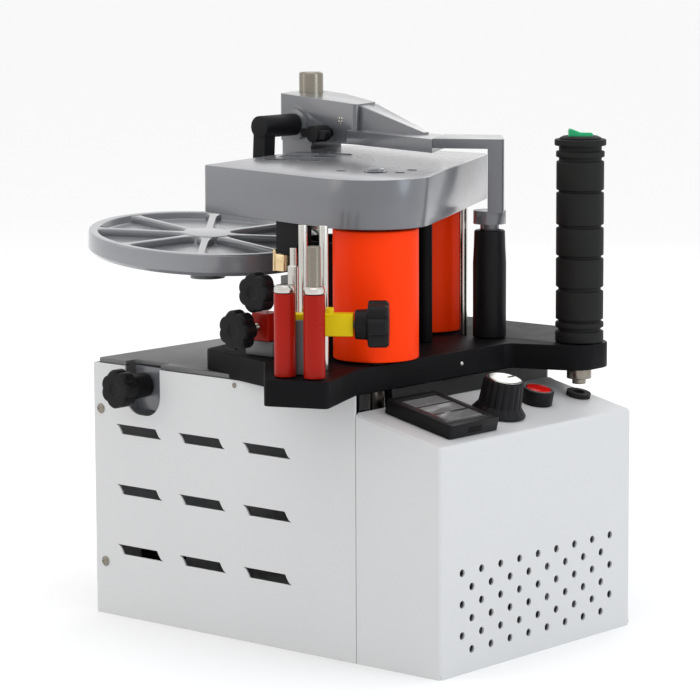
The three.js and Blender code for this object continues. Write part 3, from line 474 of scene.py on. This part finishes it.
def sidePanel(node, notched):
    # flat side sheet with nine louvres; the louvred side also has a rounded notch round the deck clamp
    low, high = spanOf(node)
    outline = [[low[0], low[2]], [high[0], low[2]], [high[0], high[2]]]
    zero = low[0] - cabinet["panelGap"] * mm
    if notched:
        clampLow, clampHigh = spanOf("deck_clamp")
        middle = (clampLow[0] + clampHigh[0]) / 2 - cabinet["notchShift"] * mm
        half, floorZ = cabinet["notchHalf"] * mm, cabinet["notchFloor"] * mm
        outline += [[middle + half, high[2]], [middle + half, floorZ],
                    [middle - half, floorZ], [middle - half, high[2]]]
    outline.append([low[0], high[2]])
    notchRadius = cabinet["notchRound"] * mm
    radii = [0.0, 0.0, 0.0] + ([0.0, notchRadius, notchRadius, 0.0] if notched else []) + [0.0]
    outline = soften(outline, radii, 8, closed=True)
    columns, rows = cabinet["louvreColumns"], cabinet["louvreRows"]
    holes = [louvreSlot(zero + x * mm, z * mm) for x in columns for z in rows]
    verts, faces = flatSheet(outline, holes)
    outside = low[1] if notched else high[1]
    verts = np.stack([verts[:, 0], np.full(len(verts), outside), verts[:, 1]], 1)
    piece = makePiece(node + "_sheet", (verts, faces), "whitePowderCoat", node)
    orientSheet(piece, (0, -1 if notched else 1, 0))
    return piece


def orientSheet(piece, outward):
    # turns an open sheet's faces outwards, gives it its thickness inwards and rolls its rims
    mesh = piece.data
    if np.dot(np.array(mesh.polygons[0].normal), outward) < 0:
        mesh.flip_normals()
    wall = piece.modifiers.new("wall", "SOLIDIFY")
    wall.thickness, wall.offset = cabinet["sheet"] * mm, -1.0
    roll = piece.modifiers.new("rolledRims", "BEVEL")
    roll.width, roll.segments, roll.limit_method, roll.angle_limit = cabinet["rim"] * mm, 2, "ANGLE", 0.9
    roll.harden_normals = True


sidePanel("louvre_panel", True)
sidePanel("rear_panel", False)
carriedCopy("back_panel", "whitePowderCoat", 0.3 * mm)
carriedCopy("bottom_plate", "whitePowderCoat", 0.3 * mm)
carriedCopy("deck_plate", "deckPaint", 0.6 * mm)

vents = {"radius": 2.75, "sides": 28, "rows": 6, "perRow": 9, "start": 23.5, "step": 21.2, "top": 70.5,
         "rowStep": 10.9}
openingSizes = {"knobHole": 3.4, "switchHole": 10, "cordHole": 5, "windowHalf": 21, "sides": 24}
powerSwitch = {"tall": 10.8, "radius": 11.5, "pocket": 9.5, "pocketDepth": 5, "lens": 8.8, "tail": -20,
               "neck": 9.6, "sides": 72}
controlSlope = np.arcsin(jointOf["speed_knob"]["axis"][0])


def switchFoot():
    # where the power switch meets the sloped top: straight below its rocker's pivot
    normal = np.array(jointOf["speed_knob"]["axis"])
    return np.array(jointOf["power_rocker"]["pos_m"]) - normal * powerSwitch["tall"] * mm


def ventLoops(startY):
    # staggered rows of round vents: every other row is half a step along and one vent shorter
    loops = []
    for row in range(vents["rows"]):
        for k in range(vents["perRow"] - row % 2):
            y = startY + (vents["start"] + vents["step"] * (k + (row % 2) / 2)) * mm
            z = (vents["top"] - vents["rowStep"] * row) * mm
            loops.append(circle(y, z, vents["radius"] * mm, vents["sides"]))
    return loops


def controlCover():
    # closed faces of the folded cover meet at sharp corners, and a bevel then bends every fold round
    low, high = spanOf("control_cover")
    start = low[0]
    rise, level = np.sin(controlSlope), np.cos(controlSlope)
    topHigh, topLow = high[2], high[2] - (high[0] - start) * np.tan(controlSlope)
    endOutline = [[low[1], 0], [high[1], 0], [high[1], topLow], [low[1], topLow]]
    end, endFaces = flatSheet(endOutline, ventLoops(low[1]))
    end = np.stack([np.full(len(end), high[0]), end[:, 0], end[:, 1]], 1)
    run = (high[0] - start) / level
    meterLow, meterHigh = spanOf("controller_case")
    holes = [("knobHole", np.array(jointOf["speed_knob"]["pos_m"])), ("switchHole", switchFoot()),
             ("cordHole", centreOf("cable_grommet"))]
    openings = [circle((place[0] - start) / level, place[1], openingSizes[kind] * mm, openingSizes["sides"])
                for kind, place in holes]
    meterX = ((meterLow[0] + meterHigh[0]) / 2 - start) / level
    meterY = (meterLow[1] + meterHigh[1]) / 2
    window = openingSizes["windowHalf"] * mm
    openings.append(np.array([[meterX - window, meterY - window], [meterX + window, meterY - window],
                              [meterX + window, meterY + window], [meterX - window, meterY + window]]))
    top, topFaces = flatSheet([[0, low[1]], [run, low[1]], [run, high[1]], [0, high[1]]], openings)
    top = np.stack([start + top[:, 0] * level, top[:, 1], topHigh - top[:, 0] * rise], 1)
    sides = []
    for y in (low[1], high[1]):
        corners = [[start, y, 0], [high[0], y, 0], [high[0], y, topLow], [start, y, topHigh]]
        sides.append((np.array(corners), [[0, 1, 2, 3]]))
    piece = makePiece("control_cover_folded", merged([(end, endFaces), (top, topFaces), *sides]),
                      "whitePowderCoat", "control_cover")
    piece.data.polygons.foreach_set("use_smooth", np.zeros(len(piece.data.polygons), bool))
    bend = piece.modifiers.new("folds", "BEVEL")
    bend.width, bend.segments, bend.limit_method, bend.angle_limit = cabinet["bend"] * mm, 8, "ANGLE", 0.6
    wall = piece.modifiers.new("wall", "SOLIDIFY")
    wall.thickness, wall.offset = cabinet["sheet"] * mm, -1.0
    return piece


controlCover()
screw = {"recessHalf": 0.16, "recessReach": 0.62, "recessFrom": 0.2, "recessDepth": 0.28, "rise": 0.05}


def screwHead(name, place, axis, radius, standsFor, finish="rodSteel"):
    # domed head with a cross recess; every measure is a share of the head's radius
    dome = soften([[0, 0.55 * radius], [0.6 * radius, 0.45 * radius], [radius, 0.1 * radius],
                   [radius, 0], [0, 0]], 0.12 * radius, 3)
    verts, faces = turnedGrid(dome, 32)
    arm = np.abs(verts[:, :2]).min(1) < screw["recessHalf"] * radius
    near = np.linalg.norm(verts[:, :2], axis=1) < screw["recessReach"] * radius
    upper = verts[:, 2] > screw["recessFrom"] * radius
    verts[arm & near & upper, 2] -= screw["recessDepth"] * radius
    return makePiece(name, (oriented(verts, place, axis), faces), finish, standsFor, replace=False)


panelScrews = [(7.0, 154, 3.7), (9.5, 39.5, 3.7), (141.6, 184.2, 2.0)]
rearScrews = [(6, 154, 3.0), (6, 39.5, 3.0), (248, 154, 3.0), (248, 39.5, 3.0)]
backScrews = [(12, 176, 3.0), (202, 176, 3.0), (12, 12, 3.0), (202, 12, 3.0)]
panelLow = spanOf("louvre_panel")[0]
for index, (x, z, radius) in enumerate(panelScrews):
    place = (panelLow[0] + x * mm, panelLow[1] - screw["rise"] * mm, z * mm)
    screwHead(f"panel_screw_{index + 1}", place, (0, -1, 0), radius * mm, "louvre_panel")
rearLow, rearHigh = spanOf("rear_panel")
for index, (x, z, radius) in enumerate(rearScrews):
    place = (rearLow[0] + x * mm, rearHigh[1] + screw["rise"] * mm, z * mm)
    screwHead(f"rear_screw_{index + 1}", place, (0, 1, 0), radius * mm, "rear_panel")
backLow = spanOf("back_panel")[0]
for index, (y, z, radius) in enumerate(backScrews):
    place = (backLow[0] - screw["rise"] * mm, backLow[1] + y * mm, z * mm)
    screwHead(f"back_screw_{index + 1}", place, (-1, 0, 0), radius * mm, "back_panel")
print("cabinet made")

castings = [
    # node, finish, edge radius in millimetres
    ("base_casting", "blackCasting", 1.6),
    ("chain_cover", "greyCasting", 2.0),
    ("tray_arm", "deckPaint", 0.9),
    ("bearing_plate", "greyCasting", 0.5),
    ("yoke_arm", "greyCasting", 1.1),
    ("yoke_head", "greyCasting", 1.1),
    ("deck_clamp", "greyCasting", 0.8),
    ("guide_post", "deckPaint", 0.6),
    ("hanging_block", "blackPlastic", 0.8),
    ("width_bar_post", "deckPaint", 0.6),
    ("power_inlet", "blackPlastic", 0.5),
    ("controller_case", "blackPlastic", 0.8),
    ("control_board", "boardGreen", 0.3),
]
for node, finish, edge in castings:
    carriedCopy(node, finish, edge * mm)

coverTop = {
    # millimetres from the front roller's axis, along and across the cover; profiles are radius and height
    "slots": 6, "slotLong": 18, "slotWide": 4.6, "slotTurn": 21, "proud": 0.35,
    "lipGrow": 1.6, "lipLow": -0.3, "slotShadeLift": 0.08,
    "startAlong": 116, "startAcross": 108, "columnStep": 27, "rowStep": 32, "boss": (-21.4, 25.2),
    "cap": [[0, -0.4], [7.4, -0.4], [7.4, 0.5], [6.4, 0.7], [6.2, 2.0], [4.4, 2.9], [0, 3.1]],
    "ring": [[6.5, -0.2], [7.9, -0.2], [7.9, 0.35], [6.5, 0.35], [6.5, -0.2]],
    "dashes": [(-23.8, -9.5), (17.6, 5.8), (10.4, 27.6)], "dashLong": 7, "dashWide": 3.4,
}


def pillOutline(long, wide):
    # a straight run with a half circle at each end
    turn = np.linspace(-np.pi / 2, np.pi / 2, 9)
    end = np.stack([long / 2 - wide / 2 + wide / 2 * np.cos(turn), wide / 2 * np.sin(turn)], 1)
    return np.concatenate([end, -end])


def coverTopDetails():
    # six slots, three short dashes, and a round cap over the front roller's shaft; each slot is a raised lip
    # with a dark pill of painted shade on it in place of the slot's hollow, and the dashes and the groove
    # round the cap are painted shade too
    top = spanOf("chain_cover")[1][2]
    turn = np.radians(coverTop["slotTurn"])
    along, across = np.array([np.cos(turn), np.sin(turn)]), np.array([-np.sin(turn), np.cos(turn)])
    roller = centreOf("feed_roller_front")[:2]
    start = roller - along * coverTop["startAlong"] * mm + across * coverTop["startAcross"] * mm
    # the lip is in the cover's paint; the slot is a dark pill of painted shade standing just above it
    layers = (("lip", coverTop["lipGrow"], coverTop["lipLow"], coverTop["proud"], "greyCasting"),
              ("slot", 0, 0, coverTop["proud"] + coverTop["slotShadeLift"], "paintedCavityShade"))
    columnStep, rowStep = coverTop["columnStep"] * mm, coverTop["rowStep"] * mm
    for index in range(coverTop["slots"]):
        column, row = index % 2, index // 2
        middle = start + along * column * columnStep + across * row * rowStep
        for tag, grow, low, high, finish in layers:
            pill = pillOutline((coverTop["slotLong"] + grow) * mm, (coverTop["slotWide"] + grow) * mm)
            verts, faces = slabGrid(pill, low * mm, high * mm, 0.12 * mm, 2)
            place = [middle[0], middle[1], top]
            makePiece(f"cover_{tag}_{index + 1}", (oriented(verts, place, (0, 0, 1), turn), faces), finish,
                      "chain_cover", replace=False)
    boss = roller + np.array(coverTop["boss"]) * mm
    verts, faces = turnedGrid(soften(np.array(coverTop["cap"]) * mm, 0.3 * mm, 3), 48)
    makePiece("cover_shaft_cap", (verts + [boss[0], boss[1], top], faces), "greyCasting", "chain_cover",
              replace=False)
    # the groove round the cap is a dark ring of painted shade, not cut into the cover
    verts, faces = turnedGrid(np.array(coverTop["ring"]) * mm, 48)
    makePiece("cover_cap_groove_shade", (verts + [boss[0], boss[1], top], faces), "paintedCavityShade", "chain_cover",
              replace=False)
    # the dashes are dark slabs of painted shade lying across the cover's top
    dash = pillOutline(coverTop["dashLong"] * mm, coverTop["dashWide"] * mm)
    for index, (x, y) in enumerate(coverTop["dashes"]):
        verts, faces = slabGrid(dash, -0.2 * mm, 0.2 * mm, 0.08 * mm, 2)
        place = [boss[0] + x * mm, boss[1] + y * mm, top]
        makePiece(f"cover_dash_{index + 1}", (oriented(verts, place, (0, 0, 1), turn), faces), "paintedCavityShade",
                  "chain_cover", replace=False)


fasteners = {
    # millimetres from a joint, a roller's axis or a node's lowest corner; profiles are radius and height
    "yokeBolt": (11, 12.6, 5), "yokeBoltRadius": 3.4,
    "castingBolt": [[0, -0.3], [4.6, -0.3], [4.6, 0.9], [3.2, 1.0], [3.2, 8.2], [2.6, 9], [0, 9]],
    "castingBoltPlace": (30, -43), "setScrew": (3.5, -69, -8.8), "setScrewRadius": 1.5,
    "feeler": (-2, 1, -13), "feelerSize": (9, 8, 12.6), "feelerPin": (-1.2, 2, 7),
    "pin": [[0, -7], [1.9, -7], [1.9, 8], [1.4, 8.6], [0, 8.6]],
}


def smallFasteners():
    # a bolt in the yoke's face, a bolt beside the rear roller, a set screw, and a brass block with its pin
    wing = np.array(jointOf[bodyOf["wing_knob"]]["pos_m"])
    lever = np.array(jointOf[bodyOf["clamp_lever"]]["pos_m"])
    x, y, z = fasteners["yokeBolt"]
    screwHead("yoke_face_bolt", (wing[0] + x * mm, lever[1] + y * mm, lever[2] + z * mm), (0, -1, 0),
              fasteners["yokeBoltRadius"] * mm, "yoke_head", "turnedSteel")
    rear = centreOf("feed_roller_rear")
    castingTop = spanOf("base_casting")[1][2]
    x, y = fasteners["castingBoltPlace"]
    verts, faces = turnedGrid(soften(np.array(fasteners["castingBolt"]) * mm, 0.4 * mm, 3), 36)
    place = [rear[0] + x * mm, rear[1] + y * mm, castingTop]
    makePiece("casting_bolt", (verts + place, faces), "brightSteel", "base_casting", replace=False)
    x, y, z = fasteners["setScrew"]
    place = (spanOf("deck_plate")[1][0] + x * mm, rear[1] + y * mm, castingTop + z * mm)
    screwHead("casting_set_screw", place, (1, 0, 0), fasteners["setScrewRadius"] * mm, "base_casting",
              "brightSteel")
    low = spanOf("hanging_block")[0] + np.array(fasteners["feeler"]) * mm
    block = blockGrid(low, low + np.array(fasteners["feelerSize"]) * mm, 0.8 * mm)
    makePiece("feeler_block", block, "brass", "hanging_block", replace=False)
    verts, faces = turnedGrid(soften(np.array(fasteners["pin"]) * mm, 0.3 * mm, 3), 28)
    place = low + np.array(fasteners["feelerPin"]) * mm
    makePiece("feeler_pin", (verts + place, faces), "brass", "hanging_block", replace=False)


guideBlock = {"footTall": 10.7, "blockStart": 6, "blockEnd": 22, "edge": 0.9}


def guideBlockPieces():
    # a red block on a dark foot, both with rolled edges
    low, high = spanOf("guide_block")
    split, edge = low[2] + guideBlock["footTall"] * mm, guideBlock["edge"] * mm
    block = blockGrid((low[0] + guideBlock["blockStart"] * mm, low[1], split),
                      (low[0] + guideBlock["blockEnd"] * mm, high[1], high[2]), edge)
    makePiece("guide_block_red", block, "redAnodised", "guide_block")
    foot = blockGrid(low, (high[0], high[1], split), edge)
    makePiece("guide_block_foot", foot, "deckPaint", "guide_block", replace=False)


coverTopDetails()
smallFasteners()
guideBlockPieces()
print("castings made")


def turnedPiece(name, node, profile, finish, softness=0.6, segments=72, replace=True):
    # profile rows are millimetres from the node's own axis and from its lowest point
    low, high = spanOf(node)
    centre = (low + high) / 2
    rows = soften(np.asarray(profile, float) * mm, softness * mm, 4)
    verts, faces = turnedGrid(rows, segments)
    return makePiece(name, (verts + [centre[0], centre[1], low[2]], faces), finish, node, replace)


for node in ("feed_roller_front", "feed_roller_rear"):
    tall = (spanOf(node)[1][2] - spanOf(node)[0][2]) / mm
    turnedPiece(node + "_rubber", node, [
        [8.3, 0.4], [10, 0], [29.9, 0], [29.9, tall], [10, tall], [8.3, tall - 0.4], [8.3, 0.4],
    ], "orangeSilicone", 1.2, 128)
for node in ("guide_rod_1", "guide_rod_2"):
    tall = (spanOf(node)[1][2] - spanOf(node)[0][2]) / mm
    turnedPiece(node + "_ground", node, [[0, 0], [3.1, 0], [3.1, tall], [0, tall]], "brightSteel", 0.5, 40)
turnedPiece("pressure_pin_turned", "pressure_pin", [
    [0, 0], [4, 0], [4, 70], [2.4, 71], [2.4, 82.7], [0, 82.7]], "brightSteel", 0.4, 40)
turnedPiece("steel_rod_ground", "steel_rod", [
    [0, 0], [9.4, 0], [9.4, 184.2], [8.4, 185.2], [0, 185.2]], "rodSteel", 0.5, 72)
turnedPiece("cover_post_1_turned", "cover_post_1", [
    [0, 0], [5.5, 0], [5.5, 93.9], [0, 93.9]], "blackCasting", 0.5, 40)
turnedPiece("cover_post_2_turned", "cover_post_2", [
    [0, 0], [3, 0], [3, 93.9], [0, 93.9]], "brightSteel", 0.4, 40)
turnedPiece("column_sleeve_moulded", "column_sleeve", [
    [0, 0], [12.2, 0], [12.2, 55], [11.6, 66], [11.2, 78.9], [7.4, 78.9], [7.4, 29.2], [0, 29.2],
], "blackPlastic", 1.4, 72)
for tag in (1, 2):
    turnedPiece(f"red_roller_{tag}_sleeve", f"red_roller_{tag}", [
        [3.3, 0], [7.35, 0], [7.35, 56.2], [3.3, 56.2], [3.3, 0]], "redAnodised", 0.5, 56)
turnedPiece("red_roller_axle_1_capped", "red_roller_axle_1", [
    [0, 0], [3, 0], [3, 57.2], [7.2, 57.2], [7.2, 60.4], [6.1, 62.2], [3.4, 62.7], [0, 62.7],
], "brightSteel", 0.5, 56)
turnedPiece("red_roller_axle_2_capped", "red_roller_axle_2", [
    [0, 0], [3, 0], [3, 57.2], [7.2, 57.2], [7.2, 60.4], [6.1, 62.0], [4.5, 62.4], [4.5, 88.6], [3.9, 89.2],
    [0, 89.2],
], "rodSteel", 0.4, 56)
capRing = [[0, 57.3], [7.3, 57.3], [7.3, 60.5], [6.2, 62.1], [0, 62.3]]
turnedPiece("red_roller_cap_2", "red_roller_axle_2", capRing, "brightSteel", 0.5, 56, replace=False)
turnedPiece("glue_roller_turned", "glue_roller", [
    [0, 0], [4, 0], [4, 5], [12, 6], [12, 54], [4, 55], [4, 103], [0, 103]], "turnedSteel", 0.4, 56)
turnedPiece("roller_shaft_front_turned", "roller_shaft_front", [
    [0, 0], [6, 0], [6, 42.5], [8, 42.5], [8, 178], [0, 178]], "turnedSteel", 0.6, 56)
turnedPiece("roller_shaft_rear_turned", "roller_shaft_rear", [
    [0, 0], [8, 0], [8, 135.5], [0, 135.5]], "turnedSteel", 0.6, 56)

grip = {"core": 11.3, "rib": 17.2, "groove": 15.4, "flange": 18.6, "ring": 17.5, "tall": 146.5}


def gripSleeve():
    # ribs and grooves of the rubber sleeve, from the foot rings up to the top flange
    bands = [(0, 8, "ring"), (10.5, 14.5, "ring"), (16.3, 37.1, "rib"), (39.9, 60.7, "rib"),
             (62.8, 82.8, "rib"), (85, 108.2, "rib"), (110, 130.8, "rib"), (133.6, 138, "ring"),
             (141.9, grip["tall"], "flange")]
    profile = [[grip["core"], 0]]
    for low, high, kind in bands:
        radius = grip[kind]
        if low:
            profile.append([grip["groove"], low])
        profile += [[radius, low], [radius, high]]
        if kind != "flange":
            profile.append([grip["groove"], high])
    profile += [[grip["core"], grip["tall"]], [grip["core"], 0]]
    return turnedPiece("grip_sleeve_rubber", "grip_sleeve", profile, "gripRubber", 0.9, 96)


gripSleeve()
carriedCopy("grip_switch_body", "gripRubber", 0.5 * mm)
turnedPiece("grip_core_turned", "grip_core", [
    [0, 0], [5, 0], [5, 4], [9, 4], [9, 11.5], [6, 11.5], [6, 30.8], [11, 30.8], [11, 171.5], [0, 171.5],
], "rodSteel", 0.5, 48)
print("turned pieces made")


def lobedKnob(name, node, axis, back, front, radius, hub, hubBack, lobes=7, finish="blackPlastic"):
    # knob about its own axis: a round hub, then a head whose rows are scalloped by the lobe wave
    rows = soften(np.array([[0, hubBack], [hub, hubBack], [hub * 1.05, back - 0.5], [radius, back],
                            [radius, front - 2.0], [radius * 0.9, front], [radius * 0.34, front],
                            [radius * 0.28, front - 0.8], [0, front - 0.8]]) * mm, 1.3 * mm, 4)
    depth = np.clip((rows[:, 0] / mm - hub * 1.1) / (radius - hub * 1.1), 0, 1) * 0.17
    depth[rows[:, 1] < (back - 0.4) * mm] = 0
    verts, faces = turnedGrid(rows, lobes * 24, lobes, depth)
    joint = jointOf[bodyOf[node]]
    return makePiece(name, (oriented(verts, joint["pos_m"], axis), faces), finish, node)


def threadedStud(name, node, axis, start, end):
    # stud whose radius follows a cosine of its length, one wave to each millimetre of thread
    along = np.arange(start, end, 0.2)
    radius = 2.8 + 0.2 * np.cos(2 * np.pi * along / 1.0)
    rows = np.stack([np.concatenate([[0], radius, [0]]), np.concatenate([[start], along, [along[-1]]])], 1)
    verts, faces = turnedGrid(rows * mm, 20)
    joint = jointOf[bodyOf[node]]
    return makePiece(name, (oriented(verts, joint["pos_m"], axis), faces), "turnedSteel", node, replace=False)


towardFront = (0, -1, 0)
lobedKnob("upper_guide_knob_moulded", "upper_guide_knob", towardFront, 0, 11, 14.3, 8, -6)
lobedKnob("lower_guide_knob_moulded", "lower_guide_knob", towardFront, 0, 11, 14.3, 8, -6)
lobedKnob("deck_knob_moulded", "deck_knob", towardFront, 0, 11, 14.4, 9, -21)
barWay = tuple(jointOf["width_knob"]["axis"])
lobedKnob("width_knob_moulded", "width_knob", barWay, 0, 14, 16.4, 10, -9)
threadedStud("upper_guide_stud", "upper_guide_knob", (0, 1, 0), 6, 36)
threadedStud("lower_guide_stud", "lower_guide_knob", (0, 1, 0), 6, 26)
threadedStud("deck_stud", "deck_knob", (0, 1, 0), 21, 37)
threadedStud("width_stud", "width_knob", tuple(-np.array(barWay)), 9, 23)
carriedCopy("clamp_lever", "blackPlastic", 1.6 * mm)
carriedCopy("wing_knob", "blackPlastic", 1.2 * mm)


speedDial = {"skirt": 19.4, "foot": 15.4, "top": 14.2, "tall": 25.9, "flutes": 18, "fluteDepth": 0.05,
             "cap": 12.4}


def speedKnob():
    # skirted knob: a flared skirt, a fluted body whose flutes follow a cosine round it, and a bright cap
    joint = jointOf["speed_knob"]
    tall, skirt, cap = speedDial["tall"], speedDial["skirt"], speedDial["cap"]
    rows = soften(np.array([[0, 0.8], [skirt, 0.8], [skirt, 2.0], [speedDial["foot"], 7.3],
                            [speedDial["top"], tall - 1.3], [speedDial["top"] - 1.3, tall],
                            [0, tall]]) * mm, 0.7 * mm, 4)
    fluted = (rows[:, 1] > 7 * mm) & (rows[:, 0] > 13 * mm)
    verts, faces = turnedGrid(rows, 216, speedDial["flutes"], np.where(fluted, speedDial["fluteDepth"], 0.0))
    makePiece("speed_knob_moulded", (oriented(verts, joint["pos_m"], joint["axis"]), faces),
              "blackPlastic", "speed_knob")
    disc = soften(np.array([[0, tall - 0.1], [cap, tall - 0.1], [cap, tall + 0.4], [cap - 1.4, tall + 0.7],
                            [0, tall + 0.7]]) * mm, 0.25 * mm, 3)
    verts, faces = turnedGrid(disc, 72)
    makePiece("speed_knob_cap", (oriented(verts, joint["pos_m"], joint["axis"]), faces),
              "brightSteel", "speed_knob", replace=False)
    verts, faces = blockGrid((-0.6 * mm, 4 * mm, (tall + 0.6) * mm), (0.6 * mm, 11 * mm, (tall + 1.0) * mm),
                             0.15 * mm)
    makePiece("speed_knob_mark", (oriented(verts, joint["pos_m"], joint["axis"]), faces),
              "blackPlastic", "speed_knob", replace=False)


speedKnob()
print("knobs made")


tray = {"radius": 88, "rim": 16, "wall": 6.5, "floor": -5.5, "hub": 18, "bore": 7.4, "spokes": 8,
        "first": 175, "spokeHalf": 2.6, "flare": 0.9, "hubFillet": 4, "rimFillet": 3}


def tapeTray():
    # dish with a rolled rim, and spokes whose sides lean and meet rim and hub in exponential fillets
    joint = jointOf["tray"]
    r, wall, floorZ, half = tray["radius"], tray["wall"], tray["floor"], tray["spokeHalf"]
    rim, hub, flareBy = tray["rim"], tray["hub"], tray["flare"]
    rows = soften(np.array([[0, -3], [tray["bore"], -3], [tray["bore"], -rim + 2], [r - 3, -rim],
                            [r, -rim + 3], [r, 0], [r - wall, 0], [r - wall - 1.5, floorZ],
                            [hub + 1.5, floorZ], [hub, 0], [0, 0]]) * mm, 1.3 * mm, 5)
    verts, faces = turnedGrid(rows, 160)
    parts = [(oriented(verts, joint["pos_m"], joint["axis"]), faces)]
    along = np.linspace(hub - 3, r - wall + 1.5, 25)
    flare = (1 + flareBy * np.exp(-(along - hub) / tray["hubFillet"])
             + flareBy * np.exp((along - (r - wall - 1)) / tray["rimFillet"]))
    section = soften([[-half - 1.2, floorZ - 1], [half + 1.2, floorZ - 1], [half, -0.5], [-half, -0.5]],
                     [0, 0, 1.2, 1.2], 4, True)
    spoke = np.stack([along[:, None] + 0 * section[:, 0], section[:, 0] * flare[:, None],
                      section[:, 1] + 0 * along[:, None]], -1).reshape(-1, 3) * mm
    faces = gridFaces(len(along), len(section)).tolist()
    faces += [list(range(len(section)))[::-1], list(range(len(spoke) - len(section), len(spoke)))]
    for k in range(tray["spokes"]):
        turn = np.radians(tray["first"] + 360 * k / tray["spokes"])
        turned = oriented(spoke, (0, 0, 0), (0, 0, 1), turn)
        parts.append((oriented(turned, joint["pos_m"], joint["axis"]), faces))
    return makePiece("tape_tray_cast", merged(parts), "trayPaint", "tape_tray")


tapeTray()
print("tray made")


def onSlope(shape, x, y):
    # stands a shape made about zero square to the sloped control top at x, y
    knob = np.array(jointOf["speed_knob"]["pos_m"])
    z = knob[2] - (x - knob[0]) * np.tan(controlSlope)
    tilt = np.array(Matrix.Rotation(controlSlope, 3, "Y"))
    return np.asarray(shape[0]) @ tilt.T + [x, y, z], shape[1]


keypad = {
    # millimetres along the slope, across it and above it; bands are start and end along it
    "half": 21, "start": -23.2, "end": 22.2, "low": 8.3, "high": 9.7, "middle": 9, "bandInset": 3,
    "bandRise": 0.35, "bands": [(-21.5, -9.5), (-7.0, 5.0), (8.5, 20.5)],
    "recessShadeLow": (29.4, -7.5, 2.6), "recessShadeHigh": (30.12, 7.5, 7.2),
}


def meterMiddle():
    # middle of the controller on the sloped top, worked back from its window's own box
    low, high = spanOf("controller_window")
    height, offset = keypad["middle"] * mm, (keypad["start"] * mm + keypad["end"] * mm) / 2
    x = (low[0] + high[0]) / 2 - height * np.sin(controlSlope) - offset * np.cos(controlSlope)
    return x, (low[1] + high[1]) / 2


def meterFace():
    # one smoked window with three pale bands: a display and two rows of membrane keys
    x, y = meterMiddle()
    half, low, high = keypad["half"] * mm, keypad["low"] * mm, keypad["high"] * mm
    window = blockGrid((keypad["start"] * mm, -half, low), (keypad["end"] * mm, half, high), 0.4 * mm)
    makePiece("controller_window_moulded", onSlope(window, x, y), "smokedWindow", "controller_window")
    inset = half - keypad["bandInset"] * mm
    for k, (start, end) in enumerate(keypad["bands"]):
        band = blockGrid((start * mm, -inset, high - 0.1 * mm),
                         (end * mm, inset, high + keypad["bandRise"] * mm), 0.2 * mm)
        makePiece(f"controller_band_{k + 1}", onSlope(band, x, y), "displayGrey", "controller_window",
                  replace=False)


meterFace()


def powerSwitchPieces():
    # round switch: a deep black bezel with a pocket, a pale ring on its lip and a domed lens in the pocket
    foot, sides = switchFoot(), powerSwitch["sides"]
    tall, radius, pocket = powerSwitch["tall"], powerSwitch["radius"], powerSwitch["pocket"]
    neck, tail, lensRadius = powerSwitch["neck"], powerSwitch["tail"], powerSwitch["lens"]
    floorZ = tall - powerSwitch["pocketDepth"]
    body = soften(np.array([[0, tail], [neck, tail], [neck, 0.3], [radius, 0.3], [radius, tall - 0.6],
                            [radius - 0.7, tall], [pocket, tall], [pocket, floorZ], [0, floorZ]]) * mm,
                  0.3 * mm, 3)
    makePiece("power_switch_bezel", onSlope(turnedGrid(body, sides), foot[0], foot[1]), "blackPlastic",
              "power_switch_body")
    inner, outer = pocket + 0.1, radius - 1.0
    lip = soften(np.array([[inner, tall - 0.2], [outer, tall - 0.2], [outer, tall + 0.3],
                           [inner, tall + 0.3], [inner, tall - 0.2]]) * mm, 0.15 * mm, 3)
    makePiece("power_switch_lip", onSlope(turnedGrid(lip, sides), foot[0], foot[1]), "displayGrey",
              "power_switch_body", replace=False)
    joint = jointOf["power_rocker"]
    lens = soften(np.array([[0, -3.2], [lensRadius - 0.6, -3.2], [lensRadius, -2], [lensRadius, 0.6],
                            [0, 1.4]]) * mm, 0.5 * mm, 4)
    verts, faces = turnedGrid(lens, sides)
    makePiece("power_rocker_lens", (oriented(verts, joint["pos_m"], jointOf["speed_knob"]["axis"]), faces),
              "redLens", "power_rocker")


powerSwitchPieces()
# the clip recess is a dark block of painted shade set on the controller, not cut into it
recess = blockGrid(np.array(keypad["recessShadeLow"]) * mm, np.array(keypad["recessShadeHigh"]) * mm, 0.3 * mm)
makePiece("controller_clip_recess_shade", onSlope(recess, *meterMiddle()), "paintedCavityShade", "controller_case",
          replace=False)
for node, finish in (("grip_rocker", "greenLens"), ("width_bar", "yellowPaint")):
    carriedCopy(node, finish, 0.7 * mm)
print("controls made")
